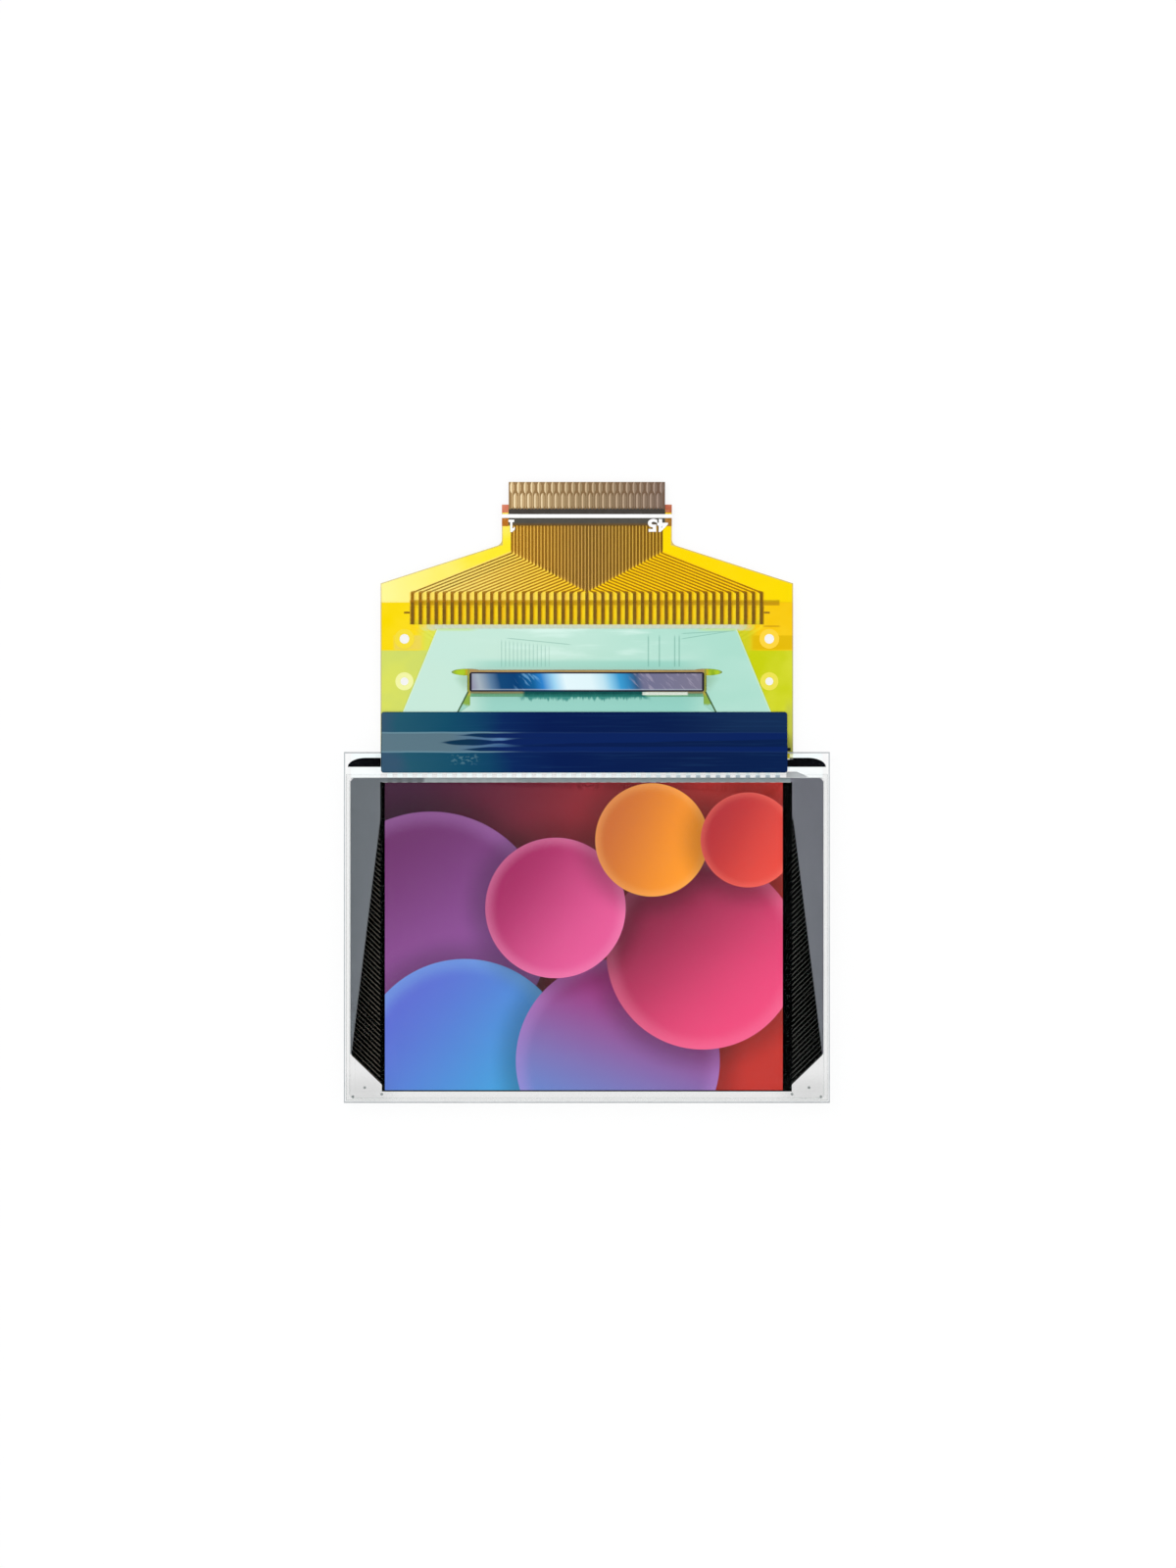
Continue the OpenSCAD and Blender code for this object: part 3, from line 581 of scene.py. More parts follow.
surround = {
    "above": ("#cca86c", "#b08c58"), "tealShadow": (-0.3, 0.1, "#2c8478", "#18605e"),
    "tan": (-0.25, -0.05, "#74b48c", "#a89468"),
    "tealShadowSpan": (-5.6, 5.2), "strip": "#fbfff4", "stripSpan": (4.9, 8.9), "ends": ("#8c9434", "#b8b84c"),
    "leaf": (0.35, 0.65, "#b0cc2c", "#90b020"), "leafRoot": "#e0b028", "leafTip": "#8ca05c",
    "wedge": (-0.5, -0.1, "#8cb048", "#c8b44c"), "wedgeFoot": "#a0d2c0", "wedgeSide": "#4c6c44",
    "wedgeLean": 0.51,
    # the opening in the resist, where all this shows
    "openingSide": 12.35, "openingFoot": 18.4, "openingTop": 23.4}
chipLow, chipHigh = lowOf("driver_chip"), highOf("driver_chip")
chip = {"length": chipHigh.x - chipLow.x, "middle": (chipLow.y + chipHigh.y) / 2,
        "half": (chipHigh.y - chipLow.y) / 2}


# Peach above the chip, olive at its ends, tan and a ragged teal painted shadow with a bright strip below it,
# a yellow-green leaf at each upper corner and a green wedge with a dark outer side at each lower corner
def chipSurround(paint, x, y):
    mottle = paint.noise(1.0, x * 2, y)
    side = abs(x) - chip["length"] / 2
    up = y - (chip["middle"] - chip["half"])
    # painted shadow under the chip's lower side, ragged teal in the middle
    tealShadow = paint.fade(up + mottle * 0.3, *surround["tealShadow"])
    tan = paint.fade(up, *surround["tan"])
    below = paint.blend(x.band(*surround["tealShadowSpan"], 0.2), tan, tealShadow)
    strip = x.band(*surround["stripSpan"], 0.08) * up.band(-0.3, -0.04, 0.03)
    below = paint.blend(strip, below, surround["strip"])
    colour = paint.blend(y.past(chip["middle"], 0.3), below, paint.blend(mottle, *surround["above"]))
    colour = paint.fade(side, -0.02, 0.03, colour, paint.blend(mottle, *surround["ends"]))
    leaf = paint.fade(mottle, *surround["leaf"])
    leaf = paint.fade(side, 0.1, 0.5, surround["leafRoot"], leaf)
    leaf = paint.fade(side, 1.2, 1.6, leaf, surround["leafTip"])
    colour = paint.blend(side.rise(0.15, 0.25) * up.rise(0.0, 0.1), colour, leaf)
    wedge = paint.fade(up, *surround["wedge"])
    wedge = paint.fade(up + mottle * 0.5, -0.8, -1.05, wedge, surround["wedgeFoot"])
    outer = side - 0.2 + up * surround["wedgeLean"]
    wedge = paint.fade(outer, -0.2, -0.12, wedge, surround["wedgeSide"])
    return paint.blend(side.rise(-0.12, -0.04) * up.rise(0.02, -0.04), colour, wedge)


# Films and their copper

film = {"double": (-16, 16, "#f8d800", "#f6c400"), "edge": "#a89890", "edgeShade": 0.6,
        # the outline's sides, slopes and neck
        "side": 18.2, "slopeStart": 30.35, "slopeEnd": 33.8, "neckSide": 7.5, "neckFoot": 33.6}

comb = {"pitch": 0.7, "side": 15.65, "cloud": "#eca81c", "foot": "#c8c826", "footSpan": (27.4, 26.8),
        # a painted highlight at the bars' upper ends, where they bend into the fan, strongest at the left
        "bendHighlight": "#fff08c", "bendHighlightSpan": (28.7, 28.95), "bendHighlightTurn": (8, -14),
        "bar": [(0.18, "#b4860c"), (0.32, "#e8b60c"), (0.5, "#fad41c"), (0.8, "#fce030")],
        # brown shade over the comb, where the carrier film ends and the tail's cover starts
        "span": (-15.6, 17.0), "shade": "#9a6612", "shadeCover": 0.6}

# The fan of traces: its ends, its leaning sides, and the slanting line where it turns into the neck
fan = {"film": (-14, 2, "#ffe884", "#ffce10"), "foot": (29.4, 29.7), "top": (33.8, 33.2),
       "side": 15.7, "sideFoot": 29.5, "sideLean": 2.45, "turnFoot": 29.6, "turnLean": 0.53}
neck = {"side": 6.7, "width": 14}


# 1 along a thin line inside the film's outline: sides, slopes and neck
def filmEdge(x, y):
    side = abs(x).rise(film["side"] - 0.13, film["side"] - 0.04)
    slope = (film["slopeEnd"] - film["slopeStart"]) / (film["side"] - film["neckSide"])
    above = y - film["slopeStart"] - (film["side"] - abs(x)) * slope
    sloped = above.rise(-0.13, -0.04) * abs(x).rise(film["neckSide"] - 0.1, film["neckSide"])
    upper = abs(x).rise(film["neckSide"] - 0.12, film["neckSide"] - 0.03)
    return side.most(sloped).most(upper * y.rise(film["neckFoot"], film["slopeEnd"]))


# Colour of the film between the comb's pads, orange at the left of each gap and yellow at its right, and then
# 1 inside the comb's sides
def combColour(paint, x, y):
    bar = paint.ramp((x / comb["pitch"]).part(), comb["bar"])
    cloud = paint.noise(1.3, x, 0.0)
    bar = paint.blend(cloud.rise(0.4, 0.7) * 0.4, bar, comb["cloud"])
    bar = paint.blend(y.rise(*comb["footSpan"]) * 0.45, bar, comb["foot"])
    # painted highlight where the bars bend into the fan
    bar = paint.blend(y.rise(*comb["bendHighlightSpan"]) * x.rise(*comb["bendHighlightTurn"]) * 0.45, bar, comb["bendHighlight"])
    return bar, abs(x).before(comb["side"], 0.1)


# How far a place is above the line where the fan turns into the neck
def pastTurn(x, y):
    return y - fan["turnFoot"] - abs(x) * fan["turnLean"]


# x from 0 to 1 across the neck
def acrossNeck(x):
    return (x / neck["width"] + 0.5).clip()


tail = {
    "across": [(0, "#fff69c"), (0.22, "#fce83c"), (0.4, "#ffea10"), (0.75, "#fcd800"), (1, "#f8da00")],
    "neck": [(0, "#f4c054"), (0.3, "#e0ac50"), (0.5, "#d0a058"), (1, "#dcac40")],
    "contactGaps": [(0, "#9c7c50"), (0.5, "#866a48"), (1, "#715a4c")],
    "leftCloud": "#fff4a0", "leftTurn": (4, -12), "rightCloud": "#ffdc1c", "rightTurn": (0, 14),
    "combEnd": (29.7, 29.45), "doubleEnd": (28.65, 28.5), "shadeSpan": (28.4, 28.88),
    # thin lines along the upper side of the carrier film, which shows through
    "line": "#c89018", "lineSpan": (28.45, 28.6),
    "endLineSpan": (28.58, 28.7), "endLineFrom": (15.4, 15.7)}


def tailFinish():
    paint = Paint("tailFilm")
    x, y, z = paint.place()
    cloud = paint.noise(0.22, x, y, z).rise(0.4, 0.7)
    colour = paint.ramp((x / (2 * film["side"]) + 0.5).clip(), tail["across"])
    colour = paint.blend(cloud * x.rise(*tail["leftTurn"]) * 0.4, colour, tail["leftCloud"])
    colour = paint.blend(cloud * x.rise(*tail["rightTurn"]) * 0.3, colour, tail["rightCloud"])
    inside = fan["side"] - abs(x) - (y - fan["sideFoot"]) * fan["sideLean"]
    inFan = y.rise(*fan["top"]) * y.rise(*fan["foot"]) * inside.rise(-0.2, 0.1)
    colour = paint.blend(inFan * 0.9, colour, paint.fade(x, *fan["film"]))
    inNeck = abs(x).before(neck["side"], 0.05) * pastTurn(x, y).rise(-0.1, 0.15)
    colour = paint.blend(inNeck, colour, paint.ramp(acrossNeck(x), tail["neck"]))
    bars, inComb = combColour(paint, x, y)
    bars = paint.blend(inComb, colour, bars)
    colour = paint.fade(y, *tail["combEnd"], colour, bars)
    shade = y.band(*tail["shadeSpan"], 0.08) * x.band(*comb["span"], 0.1) * comb["shadeCover"]
    colour = paint.blend(shade, colour, comb["shade"])
    endLine = y.band(*tail["endLineSpan"], 0.05) * x.rise(*tail["endLineFrom"])
    colour = paint.blend(endLine.most(y.band(*tail["lineSpan"], 0.05)) * 0.25, colour, tail["line"])
    double = paint.fade(x, *film["double"])
    colour = paint.blend(y.rise(*tail["doubleEnd"]) * (1 - inComb), colour, double)
    gaps = paint.ramp(acrossNeck(x), tail["contactGaps"])
    colour = paint.blend(y.past(highOf("tail_coverlay").y, 0.02), colour, gaps)
    colour = paint.blend(filmEdge(x, y) * film["edgeShade"], colour, film["edge"])
    return paint.finish(colour, rough=0.35, shine=0.02)


carrier = {
    "low": (-10, 10, "#ced968", "#c8d010"), "lowCloud": "#e8e850", "doubleCloud": "#ffe23c",
    # a dull side below the right holes, and a dark mark beside the tape's right end
    "side": (17.6, 15.9, "#c2c648", "#aaac48"), "sideFrom": (17.3, 17.8), "sideTop": (20.5, 18.6),
    "mark": "#14202c", "markSpan": (17.55, 17.98), "markHeight": (15.55, 15.84),
    # greener film between the comb and the resist
    "inner": ("#dce050", "#cfce24"), "innerEnds": (15.3, 14.0), "innerTop": (26.5, 25.9),
    # patches round the upper holes, where glue shows through
    "patch": ("#ead45c", "#dfb606"), "patchSpan": (14.6, 17.0), "patchRight": (16.0, 16.2),
    "patchHeight": (24.5, 25.75),
    # short brown line at the right of the comb's foot
    "lines": "#b07814", "linesSpan": (15.6, 17.0), "linesHeight": (26.5, 26.62),
    # pale fringe between the comb and the resist
    "fringe": "#ccd4bc", "fringeEnds": (15.0, 13.0), "fringeSpan": (26.25, 26.7), "combFoot": (28.2, 28.35),
    "shadeFoot": (28.35, 28.45)}


def carrierFinish():
    paint = Paint("carrierFilm")
    x, y, z = paint.place()
    cloud = paint.noise(0.3, x, y, z)
    low = paint.fade(x, *carrier["low"])
    low = paint.blend(cloud.rise(0.35, 0.75) * 0.4, low, carrier["lowCloud"])
    side = paint.fade(y, *carrier["side"])
    low = paint.blend(x.rise(*carrier["sideFrom"]) * y.rise(*carrier["sideTop"]), low, side)
    markLeft, markRight = carrier["markSpan"]
    mark = x.past(markLeft, 0.05) * x.before(markRight, 0.04) * y.band(*carrier["markHeight"], 0.04)
    low = paint.blend(mark, low, carrier["mark"])
    double = paint.fade(x, *film["double"])
    double = paint.blend(cloud.rise(0.3, 0.7) * 0.3, double, carrier["doubleCloud"])
    inner = abs(x).rise(*carrier["innerEnds"]) * y.rise(*carrier["innerTop"])
    double = paint.blend(inner, double, paint.sides(x, *carrier["inner"]))
    patch = abs(x).band(*carrier["patchSpan"], 0.2).most(x.rise(*carrier["patchRight"]))
    patch = patch * y.band(*carrier["patchHeight"], 0.1)
    double = paint.blend(patch * 0.8, double, paint.sides(x, *carrier["patch"]))
    tailFoot = lowOf("tail_film").y
    colour = paint.fade(y, tailFoot - 0.1, tailFoot + 0.05, low, double)
    bars, inComb = combColour(paint, x, y)
    bars = paint.blend(inComb, colour, bars)
    colour = paint.fade(y, *carrier["combFoot"], colour, bars)
    shade = y.rise(*carrier["shadeFoot"]) * x.band(*comb["span"], 0.1) * comb["shadeCover"]
    colour = paint.blend(shade, colour, comb["shade"])
    marks = y.band(*carrier["linesHeight"], 0.05) * x.band(*carrier["linesSpan"], 0.2)
    colour = paint.blend(marks * 0.6, colour, carrier["lines"])
    fringe = y.band(*carrier["fringeSpan"], 0.12) * abs(x).rise(*carrier["fringeEnds"])
    colour = paint.blend(fringe, colour, carrier["fringe"])
    opening = abs(x).before(surround["openingSide"], 0.05)
    opening = opening * y.band(surround["openingFoot"], surround["openingTop"], 0.05)
    colour = paint.blend(opening, colour, chipSurround(paint, x, y))
    colour = paint.blend(filmEdge(x, y) * film["edgeShade"], colour, film["edge"])
    return paint.finish(colour, rough=0.35, shine=0.02, alpha=0.97)


copper = {
    "across": [(0, "#9a6414"), (0.3, "#84561c"), (0.5, "#6e4a20"), (1, "#784e0c")], "grain": "#80601c",
    "fan": ("#965c00", "#ac7808"), "fanLeft": "#c8a850", "leftTurn": (-4, -14),
    "fanTop": (33.9, 33.2),
    # leads: under the resist, and bare between the comb and the resist
    "lead": ("#6a4a10", "#86641c"), "bareSide": "#f6d21c", "bareSpan": (24.5, 26.72),
    "fringeSpan": (26.2, 26.75),
    # rings of the lower and of the upper holes
    "lowRing": ("#eef0a0", "#eadf50"), "highRing": ("#f2da38", "#fcd23c"), "ringTurn": (23.0, 24.0)}


# Copper under its cover: near black-brown in the neck and comb, lighter in the fan
def traceFinish():
    paint = Paint("traceCopper")
    x, y, z = paint.place()
    grain = paint.noise(1.2, x * 2, y * 0.4, z)
    dark = paint.blend(grain * 0.3, paint.ramp(acrossNeck(x), copper["across"]), copper["grain"])
    light = paint.blend(grain, *copper["fan"])
    light = paint.blend(x.rise(*copper["leftTurn"]) * 0.5, light, copper["fanLeft"])
    inFan = y.rise(*fan["foot"]) * pastTurn(x, y).rise(0.1, -0.15) * y.rise(*copper["fanTop"])
    return paint.finish(paint.blend(inFan, dark, light), rough=0.4, shine=0.06)


def leadFinish():
    paint = Paint("leadCopper")
    x, y, z = paint.place()
    grain = paint.noise(2.0, x, y, z)
    colour = paint.blend(grain, *copper["lead"])
    inner = abs(x).rise(*carrier["innerEnds"])
    bare = paint.blend(inner, copper["bareSide"], paint.sides(x, *carrier["inner"]))
    fringe = y.band(*copper["fringeSpan"], 0.1) * abs(x).rise(*carrier["fringeEnds"])
    bare = paint.blend(fringe, bare, carrier["fringe"])
    colour = paint.blend(y.band(*copper["bareSpan"], 0.02), colour, bare)
    opening = y.band(surround["openingFoot"], surround["openingTop"], 0.05)
    return paint.finish(paint.blend(opening, colour, chipSurround(paint, x, y)), rough=0.4, shine=0.06)


def ringFinish():
    paint = Paint("ringCoat")
    x, y = paint.place()[:2]
    low, high = paint.sides(x, *copper["lowRing"]), paint.sides(x, *copper["highRing"])
    return paint.finish(paint.fade(y, *copper["ringTurn"], low, high), rough=0.4, shine=0.06)


dress(tailFinish(), "tail_film")
dress(carrierFinish(), "carrier_film")
dress(traceFinish(), "tail_traces")
dress(leadFinish(), "output_leads", "input_leads")
dress(ringFinish(), "hole_rings")
dress(plainFinish("coverFilm", "#ffec00", "#ffe400", rough=0.3, alpha=0.03, shine=0.3), "tail_coverlay")
dress(plainFinish("tickCopper", "#8a6414", "#9a7420", rough=0.4, shine=0.06), "comb_ticks")
dress(plainFinish("solder", "#6a4a10", "#80601c", rough=0.4, shine=0.06), "solder_joints")
dress(plainFinish("adhesive", "#ffb93a", "#ffc85a", rough=0.5, shine=0.06), "tail_adhesive")
dress(plainFinish("stiffener", "#a8741c", "#8f6014", rough=0.5, shine=0.06), "contact_stiffener")


# Contacts, pads and printed marks

contacts = {
    # each contact is painted in the dark colours, with a highlight stripe in the light ones
    "light": [(0, "#fce8bc"), (0.45, "#d2b690"), (1, "#a28c80")],
    "dark": [(0, "#c8a878"), (0.45, "#9c8460"), (1, "#7c685c")],
    "foot": "#4c4640", "footTop": (37.02, 36.94), "pair": 0.6, "rowStep": 38.3, "highlightSpan": (0.26, 0.46)}
# The white line parts the pads and the ink into an upper and a lower half
pads = {"upper": ("#d0765c", "#b45c42"), "lower": ("#b4691c", "#a06c2c"), "spot": "#e0a078", "step": 36.3}
band = {"foot": ("#5c4628", "#705630"), "lower": ("#484640", "#58544c"), "upper": ("#4c4844", "#3a342e"),
        "footEnd": (35.5, 35.75)}


# A far-row contact stands at every even place and a near-row one between, each with a painted highlight as a
# bright stripe
def contactFinish():
    paint = Paint("contactGold")
    x, y, z = paint.place()
    farRow = y.past(contacts["rowStep"], 0.03)
    local = (x / contacts["pair"] + 0.5).part() * farRow + (x / contacts["pair"]).part() * (1 - farRow)
    grain = paint.noise(2.5, x * 2, y, z)
    highlight = local.band(*contacts["highlightSpan"], 0.05) * (0.7 + grain * 0.5)
    dark, light = [paint.ramp(acrossNeck(x), contacts[key]) for key in ("dark", "light")]
    colour = paint.blend(highlight.clip(), dark, light)
    colour = paint.fade(y, *contacts["footTop"], colour, contacts["foot"])
    return paint.finish(colour, rough=0.3, metal=0.15, shine=0.15)


# Bare pads: red copper above the white line and a browner tone under it
def padFinish():
    paint = Paint("barePads")
    x, y, z = paint.place()
    spots = paint.noise(1.6, x, y, z)
    lower, upper = paint.sides(x, *pads["lower"]), paint.sides(x, *pads["upper"])
    colour = paint.blend(y.past(pads["step"], 0.1), lower, upper)
    colour = paint.blend(spots.rise(0.4, 0.7) * 0.3, colour, pads["spot"])
    return paint.finish(colour, rough=0.35, shine=0.1)


def inkFinish():
    paint = Paint("darkInk")
    x, y, z = paint.place()
    spots = paint.noise(2.0, x, y, z, detail=3)
    foot, lower, upper = [paint.blend(spots, *band[key]) for key in ("foot", "lower", "upper")]
    colour = paint.fade(y, *band["footEnd"], foot, lower)
    return paint.finish(paint.blend(y.past(pads["step"], 0.1), colour, upper), rough=0.6, shine=0.06)


dress(contactFinish(), "contact_fingers")
dress(padFinish(), "shoulder_pads")
dress(inkFinish(), "marking_band")
dress(plainFinish("whiteInk", "#ffffff", "#f4f4f2", rough=0.6, shine=0.06), "insertion_line")


# Resist, chip and underfill

resist = {
    "coat": (-8, 10, "#c4e4d4", "#aadac9"), "cloud": "#bfe4d6",
    # painted shade over and under the chip, as darker patches: colour, heights and how they fade to the ends
    "wisp": "#daf4ea", "wispFoot": (23.2, 24.2), "wispEnds": (11, 5),
    "above": "#84ccbc", "aboveSpan": (22.75, 23.55), "aboveEnds": (12, 7),
    "below": "#8acabd", "belowTop": (20.7, 20.3), "belowEnds": (11.5, 8), "nearEnds": "#86b48c",
    "endMiddle": (10.9, 21.9), "shadow": "#2a877e", "shadowFoot": (20.45, 20.75), "shadowTop": (20.5, 20.4),
    "shadowMiddle": -0.2, "shadowEnds": (6.0, 5.2),
    # the coat's upper rim and its leaning sides
    "rim": "#c4e080", "rimFoot": (26.05, 26.3), "rimSpan": (10.0, 13.4),
    "side": "#e4f4c0", "sideTop": 13.2, "sideLean": 0.4125,
    # leads under the coat: a close group, four single ones, and slanting ones. A slanting one has a start,
    # its height there, its rise per mm, where it shows and how softly it ends
    "lead": "#6fa898", "leadFoot": (22.9, 23.1),
    "groupPitch": 0.35, "groupSpan": (-7.8, -3.3), "groupTop": (24.6, 24.2), "groupLean": 0.12,
    "singles": (5.42, 6.4, 7.75, 8.15), "singleTop": (25.9, 25.5),
    "slants": ((9, 25.55, 0.16, (8.4, 13), 0.2), (9, 25.95, 0.05, (8.4, 13), 0.2),
               (-7, 25.5, -0.1, (-7, -1.5), 0.3))}


# 1 on the leads that show through the coat
def leadsUnderCoat(x, y):
    across = ((x / resist["groupPitch"]).part() - 0.5) * 2
    group = abs(across).rise(0.3, 0.1) * x.band(*resist["groupSpan"], 0.1)
    group = group * (y + x * resist["groupLean"]).rise(*resist["groupTop"])
    single, slant = 0.0, 0.0
    for middle in resist["singles"]:
        single = abs(x - middle).rise(0.09, 0.03).most(single)
    for start, height, lean, span, soft in resist["slants"]:
        line = abs(y - height - (x - start) * lean).rise(0.06, 0.02) * x.band(*span, soft)
        slant = line.most(slant)
    single = single * y.rise(*resist["singleTop"])
    return (group * 0.5).most(single * 0.55).most(slant * 0.5) * y.rise(*resist["leadFoot"])


def resistFinish():
    paint = Paint("solderResist")
    x, y, z = paint.place()
    cloud = paint.noise(0.12, x, y * 2, z)
    wisp = paint.noise(0.8, x * 0.25, y * 1.5, detail=3)
    colour = paint.fade(x, *resist["coat"])
    colour = paint.blend(cloud.rise(0.35, 0.7) * 0.5, colour, resist["cloud"])
    # soft shade round the chip's ends
    ends = abs(abs(x) - resist["endMiddle"][0]) + abs(y - resist["endMiddle"][1]) * 0.8
    colour = paint.blend(ends.rise(1.1, 0.1) * 0.4, colour, resist["nearEnds"])
    wisps = wisp.rise(0.45, 0.75) * y.rise(*resist["wispFoot"]) * abs(x).rise(*resist["wispEnds"])
    colour = paint.blend(wisps * 0.7, colour, resist["wisp"])
    # painted shade: darker patches over and under the raised chip
    above = y.band(*resist["aboveSpan"], 0.25) * abs(x).rise(*resist["aboveEnds"])
    colour = paint.blend((above * (0.4 + cloud * 0.8)).clip() * 0.6, colour, resist["above"])
    below = y.rise(*resist["belowTop"]) * abs(x).rise(*resist["belowEnds"])
    colour = paint.blend(below * 0.8, colour, resist["below"])
    # ragged shadow under the chip's lower side
    ragged = y + paint.noise(1.2, x * 3, y * 0.6) * 0.9
    shadow = ragged.rise(*resist["shadowFoot"]) * y.rise(*resist["shadowTop"])
    shadow = shadow * abs(x - resist["shadowMiddle"]).rise(*resist["shadowEnds"])
    colour = paint.blend(shadow * 0.9, colour, resist["shadow"])
    colour = paint.blend(leadsUnderCoat(x, y), colour, resist["lead"])
    rim = y.rise(*resist["rimFoot"]) * abs(x).band(*resist["rimSpan"], 0.6)
    colour = paint.blend(rim * 0.7, colour, resist["rim"])
    side = abs(x) - resist["sideTop"] - (highOf("solder_resist").y - y) * resist["sideLean"]
    colour = paint.blend(side.rise(-0.16, -0.06) * 0.35, colour, resist["side"])
    return paint.finish(colour, rough=0.4, shine=0.08)


mirror = {
    # painted reflection: what the chip's polished back reflects, from left to right
    "across": [(0, "#8a86a0"), (0.04, "#a2aeb8"), (0.09, "#5c7c9c"), (0.13, "#0c4474"), (0.2, "#003c70"),
               (0.27, "#0c5c94"), (0.31, "#2c80c8"), (0.36, "#9cd0ec"), (0.41, "#e0f2f6"), (0.52, "#dcf0f4"),
               (0.57, "#bee0ec"), (0.6, "#8cc8e4"), (0.64, "#3a98cc"), (0.68, "#2c7cb0"), (0.71, "#34587e"),
               (0.74, "#6f6f8c"), (1, "#7c778c")],
    # scratches in its grey and in its dark part, as shares of the length
    "greyScratch": "#aea6ba", "greySpan": (0.69, 0.97), "darkScratch": "#7ab8e4", "darkSpan": (0.2, 0.3),
    "stripe": "#d0dce8", "rim": ("#201c2c", "#142848"), "rimSpan": (0.1, 0.4)}


def chipFinish():
    paint = Paint("chipSilicon")
    x, y = paint.place()[:2]
    up = y - chip["middle"]
    along = (x / chip["length"] + 0.5).clip()
    # the chip's colour is a painted reflection that changes along its length
    colour = paint.ramp(along + up * 0.012, mirror["across"])
    scratch = paint.noise(1.0, x * 2.4 + y * 2.2, up * 0.8, detail=3).rise(0.52, 0.66)
    grey, dark = along.band(*mirror["greySpan"], 0.02), along.band(*mirror["darkSpan"], 0.02)
    colour = paint.blend(scratch * grey * 0.45, colour, mirror["greyScratch"])
    colour = paint.blend(scratch * dark * 0.5, colour, mirror["darkScratch"])
    colour = paint.blend((up + chip["half"]).band(0.12, 0.22, 0.03) * 0.4, colour, mirror["stripe"])
    sides = abs(up).rise(chip["half"] - 0.17, chip["half"] - 0.1)
    ends = abs(x).rise(chip["length"] / 2 - 0.24, chip["length"] / 2 - 0.16)
    rim = paint.blend(along.band(*mirror["rimSpan"], 0.05), *mirror["rim"])
    return paint.finish(paint.blend(sides.most(ends), colour, rim), rough=0.2, shine=0.06)


def underfillFinish():
    paint = Paint("underfill")
    x, y = paint.place()[:2]
    return paint.finish(chipSurround(paint, x, y), rough=0.25, shine=0.1)


dress(resistFinish(), "solder_resist")
dress(chipFinish(), "driver_chip")
dress(underfillFinish(), "underfill")
dress(plainFinish("bumpGold", "#d8b45a", "#c09a40", rough=0.3, metal=1.0), "chip_bumps")


# Cover tape

tape = {
    "across": [(0, "#33526a"), (0.04, "#205468"), (0.16, "#0e4a64"), (0.23, "#083e60"), (0.29, "#032458"),
               (0.4, "#00194e"), (0.75, "#011a49"), (1, "#011d4b")], "width": 36,
    # below the slope the left colours reach further right, and the upper right is paler
    "bend": (16.5, 14.5), "bendEnd": (2, -4),
    "pale": "#163458", "paleFrom": (6, 15), "paleFoot": (16.6, 17.6),
    "streak": "#24507c", "rim": "#0c2630", "rimTop": (18.9, 18.97), "rimFoot": (13.74, 13.66),
    "rimLeft": (-18.02, -18.1),
    # where the tape slopes down from the glass to the film, between two creases, each with a painted
    # highlight along it
    "slope": (15.47, 17.17), "crease": (-9, -4, "#6c909e", "#2c4a7c"), "creaseEnd": (-5, -9),
    # the slope's left end carries a painted sheen: grey, split by dark tongues into wisps that fade to the
    # right
    "grey": (-12.5, -8.5, "#5c7682", "#507498"), "greyEnd": (-5.4, -8.0),
    "highWisp": "#6088b4", "highSpan": (-8.0, -6.9), "highFoot": (16.0, 16.5),
    "lowWisp": "#3c608c", "lowFrom": (-9.0, -7.6), "lowTop": (16.3, 16.0),
    "tongue": (-11, -7, "#06304c", "#03205a"), "tongueFrom": (-13.4, -12.2), "tongueEnd": -8.4,
    "runTurns": ((-12.4, -9.0), (-7.6, -6.2)), "runMiddle": -9,
    # a tongue's middle and how far left it starts, and the lens with its middle, half length and half width
    "tongues": ((16.93, -12.4), (15.68, -12.0)), "lens": {"at": (-10.2, 16.31), "length": 3.0, "width": 0.34},
    "fleck": "#6a94a0", "fleckSpan": (-12.0, -9.6), "fleckHeight": (14.4, 15.25)}


# 1 inside a long lens: half its width times (1 - the square of the way to its tip)
def lens(x, y, spot, soft):
    way = (x - spot["at"][0]) / spot["length"]
    reach = (1 - way * way).most(0.0) * spot["width"]
    return (reach - abs(y - spot["at"][1])).rise(0.0, soft)


# 1 inside the dark tongues that split the slope's painted sheen, whose sides a slow wave bends
def tongues(x, y, wave):
    inside = lens(x, y + wave * 0.12, tape["lens"], 0.13)
    # a thin run leaves the lens to the right and widens
    first, second = [x.rise(*turn) for turn in tape["runTurns"]]
    run = first * 0.14 + second * 0.13
    away = abs(y + wave * 0.2 - tape["lens"]["at"][1] - (x - tape["runMiddle"]) * 0.02)
    inside = inside.most((run - away).rise(-0.05, 0.07))
    for middle, start in tape["tongues"]:
        reach = x.rise(start, tape["tongueEnd"]) * 0.29 - 0.03
        inside = inside.most((reach - abs(y + wave * 0.12 - middle)).rise(-0.03, 0.09))
    return inside


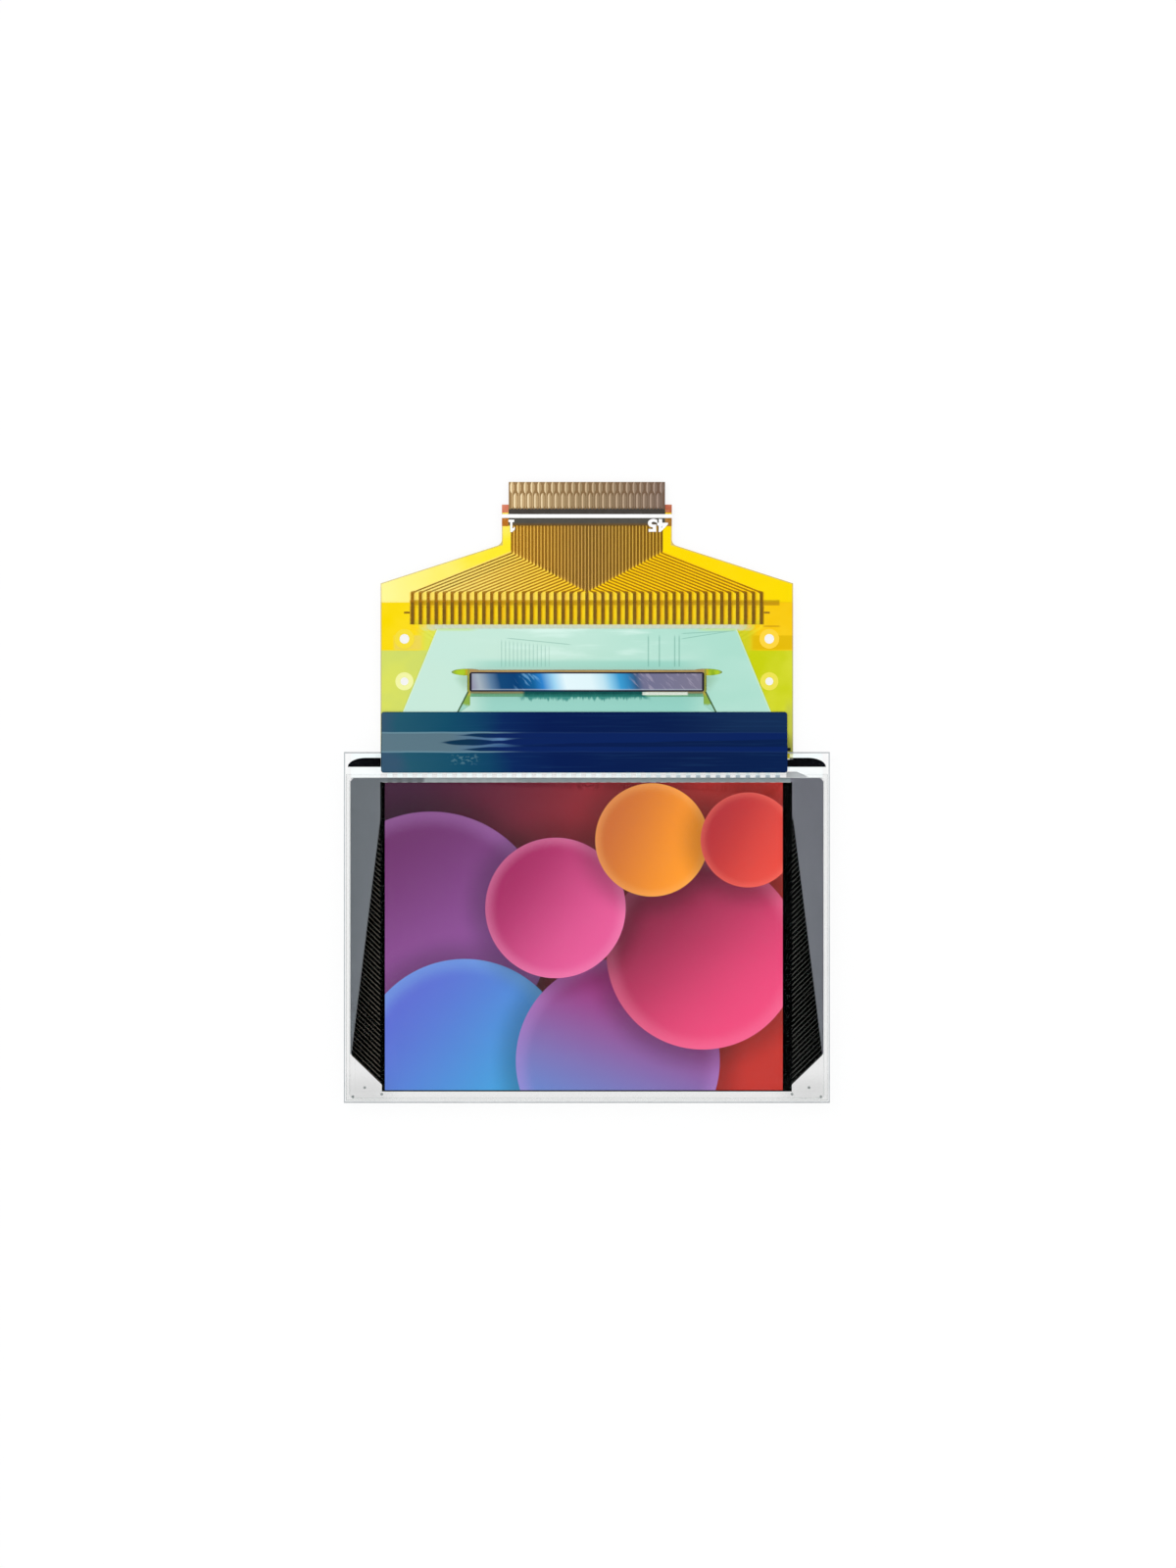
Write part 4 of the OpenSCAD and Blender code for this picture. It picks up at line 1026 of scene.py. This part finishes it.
def tapeFinish():
    paint = Paint("coverTape")
    x, y = paint.place()[:2]
    cloud = paint.noise(0.35, x * 0.5, y)
    along = (x / tape["width"] + 0.5).clip() + (cloud - 0.5) * 0.06
    bend = y.rise(*tape["bend"]) * 0.03 * x.rise(*tape["bendEnd"])
    colour = paint.ramp(along - bend, tape["across"])
    colour = paint.blend(x.rise(*tape["paleFrom"]) * y.rise(*tape["paleFoot"]) * 0.5, colour, tape["pale"])
    fine = paint.noise(1.6, x * 0.1, y * 4, detail=3)
    colour = paint.blend(fine.rise(0.5, 0.8) * 0.2, colour, tape["streak"])
    wave = paint.noise(0.9, x * 0.4, y * 0.6) - 0.5
    slope = y.band(*tape["slope"], 0.04)
    # painted sheen on the slope's left end: grey with lighter wisps
    grey = paint.fade(x, *tape["grey"])
    grey = paint.blend(x.band(*tape["highSpan"], 0.6) * y.rise(*tape["highFoot"]), grey, tape["highWisp"])
    grey = paint.blend(x.rise(*tape["lowFrom"]) * y.rise(*tape["lowTop"]), grey, tape["lowWisp"])
    colour = paint.blend(slope * x.rise(*tape["greyEnd"]) * 0.9, colour, grey)
    dark = paint.fade(x, *tape["tongue"])
    colour = paint.blend(tongues(x, y, wave) * slope * x.rise(*tape["tongueFrom"]), colour, dark)
    # a painted highlight along each crease
    for height in tape["slope"]:
        crease = abs(y - height + wave * 0.1).rise(0.1, 0.03) * (0.14 + x.rise(*tape["creaseEnd"]) * 0.6)
        colour = paint.blend(crease, colour, paint.fade(x, *tape["crease"]))
    fleck = paint.noise(2.6, x, y * 1.4, detail=3).rise(0.5, 0.64)
    fleck = fleck * x.band(*tape["fleckSpan"], 0.4) * y.band(*tape["fleckHeight"], 0.15)
    colour = paint.blend(fleck * 0.4, colour, tape["fleck"])
    rim = y.rise(*tape["rimTop"]).most(y.rise(*tape["rimFoot"])).most(x.rise(*tape["rimLeft"]))
    colour = paint.blend(rim * 0.5, colour, tape["rim"])
    return paint.finish(colour, rough=0.22 + fine * 0.2, shine=0.04, normal=paint.bump(fine, 0.15, 0.05 * mm))


dress(tapeFinish(), "cover_tape")
dress(plainFinish("sealant", "#030408", "#040610", rough=0.2, shine=0.03), "sealant_bead")


# Printed numbers, turned to face the contacts. The 1 is an outline of its own, because the built-in letter is
# a bare bar, and the 45 is built-in letters

numbers = {
    "one": [(0.1, 0), (1, 0), (1, 0.2), (0.72, 0.2), (0.72, 1), (0.42, 1), (0, 0.8), (0, 0.58), (0.38, 0.72),
            (0.38, 0.2), (0.1, 0.2)],
    "oneAt": (-6.64, 35.42), "oneSize": (0.56, 1.1), "lastAt": (6.27, 35.46), "lastSize": (1.78, 1.15),
    "bold": 0.04, "curve": 4, "over": 0.003}


# Half a turn and a fit to a place and a size: point = at - (point - middle) * size / extent
def fit(points, at, size):
    points = np.array(points, float)[:, :2]
    low, high = points.min(0), points.max(0)
    flat = np.array(at) - (points - (low + high) / 2) * np.array(size) / (high - low)
    height = highOf("insertion_line").z + numbers["over"]
    return np.column_stack([flat, np.full(len(flat), height)]) * mm


def letters(text):
    curve = bpy.data.curves.new("letters", "FONT")
    curve.body = text
    curve.offset = numbers["bold"]
    curve.resolution_u = numbers["curve"]
    holder = bpy.data.objects.new("holder", curve)
    bpy.context.scene.collection.objects.link(holder)
    bpy.context.view_layer.update()
    mesh = bpy.data.meshes.new_from_object(holder)
    bpy.data.objects.remove(holder)
    return [tuple(v.co) for v in mesh.vertices], [tuple(face.vertices) for face in mesh.polygons]


ink = plainFinish("numberInk", "#ffffff", "#f4f4f2", rough=0.6)
one = fit(numbers["one"], numbers["oneAt"], numbers["oneSize"])
makeMesh("numeral1", one, np.array([range(len(one))]), ink, "white_ink")
points, faces = letters("45")
makeMesh("numeral45", fit(points, numbers["lastAt"], numbers["lastSize"]), np.array(faces), ink, "white_ink")
print("stage 5: films, leads and chip")
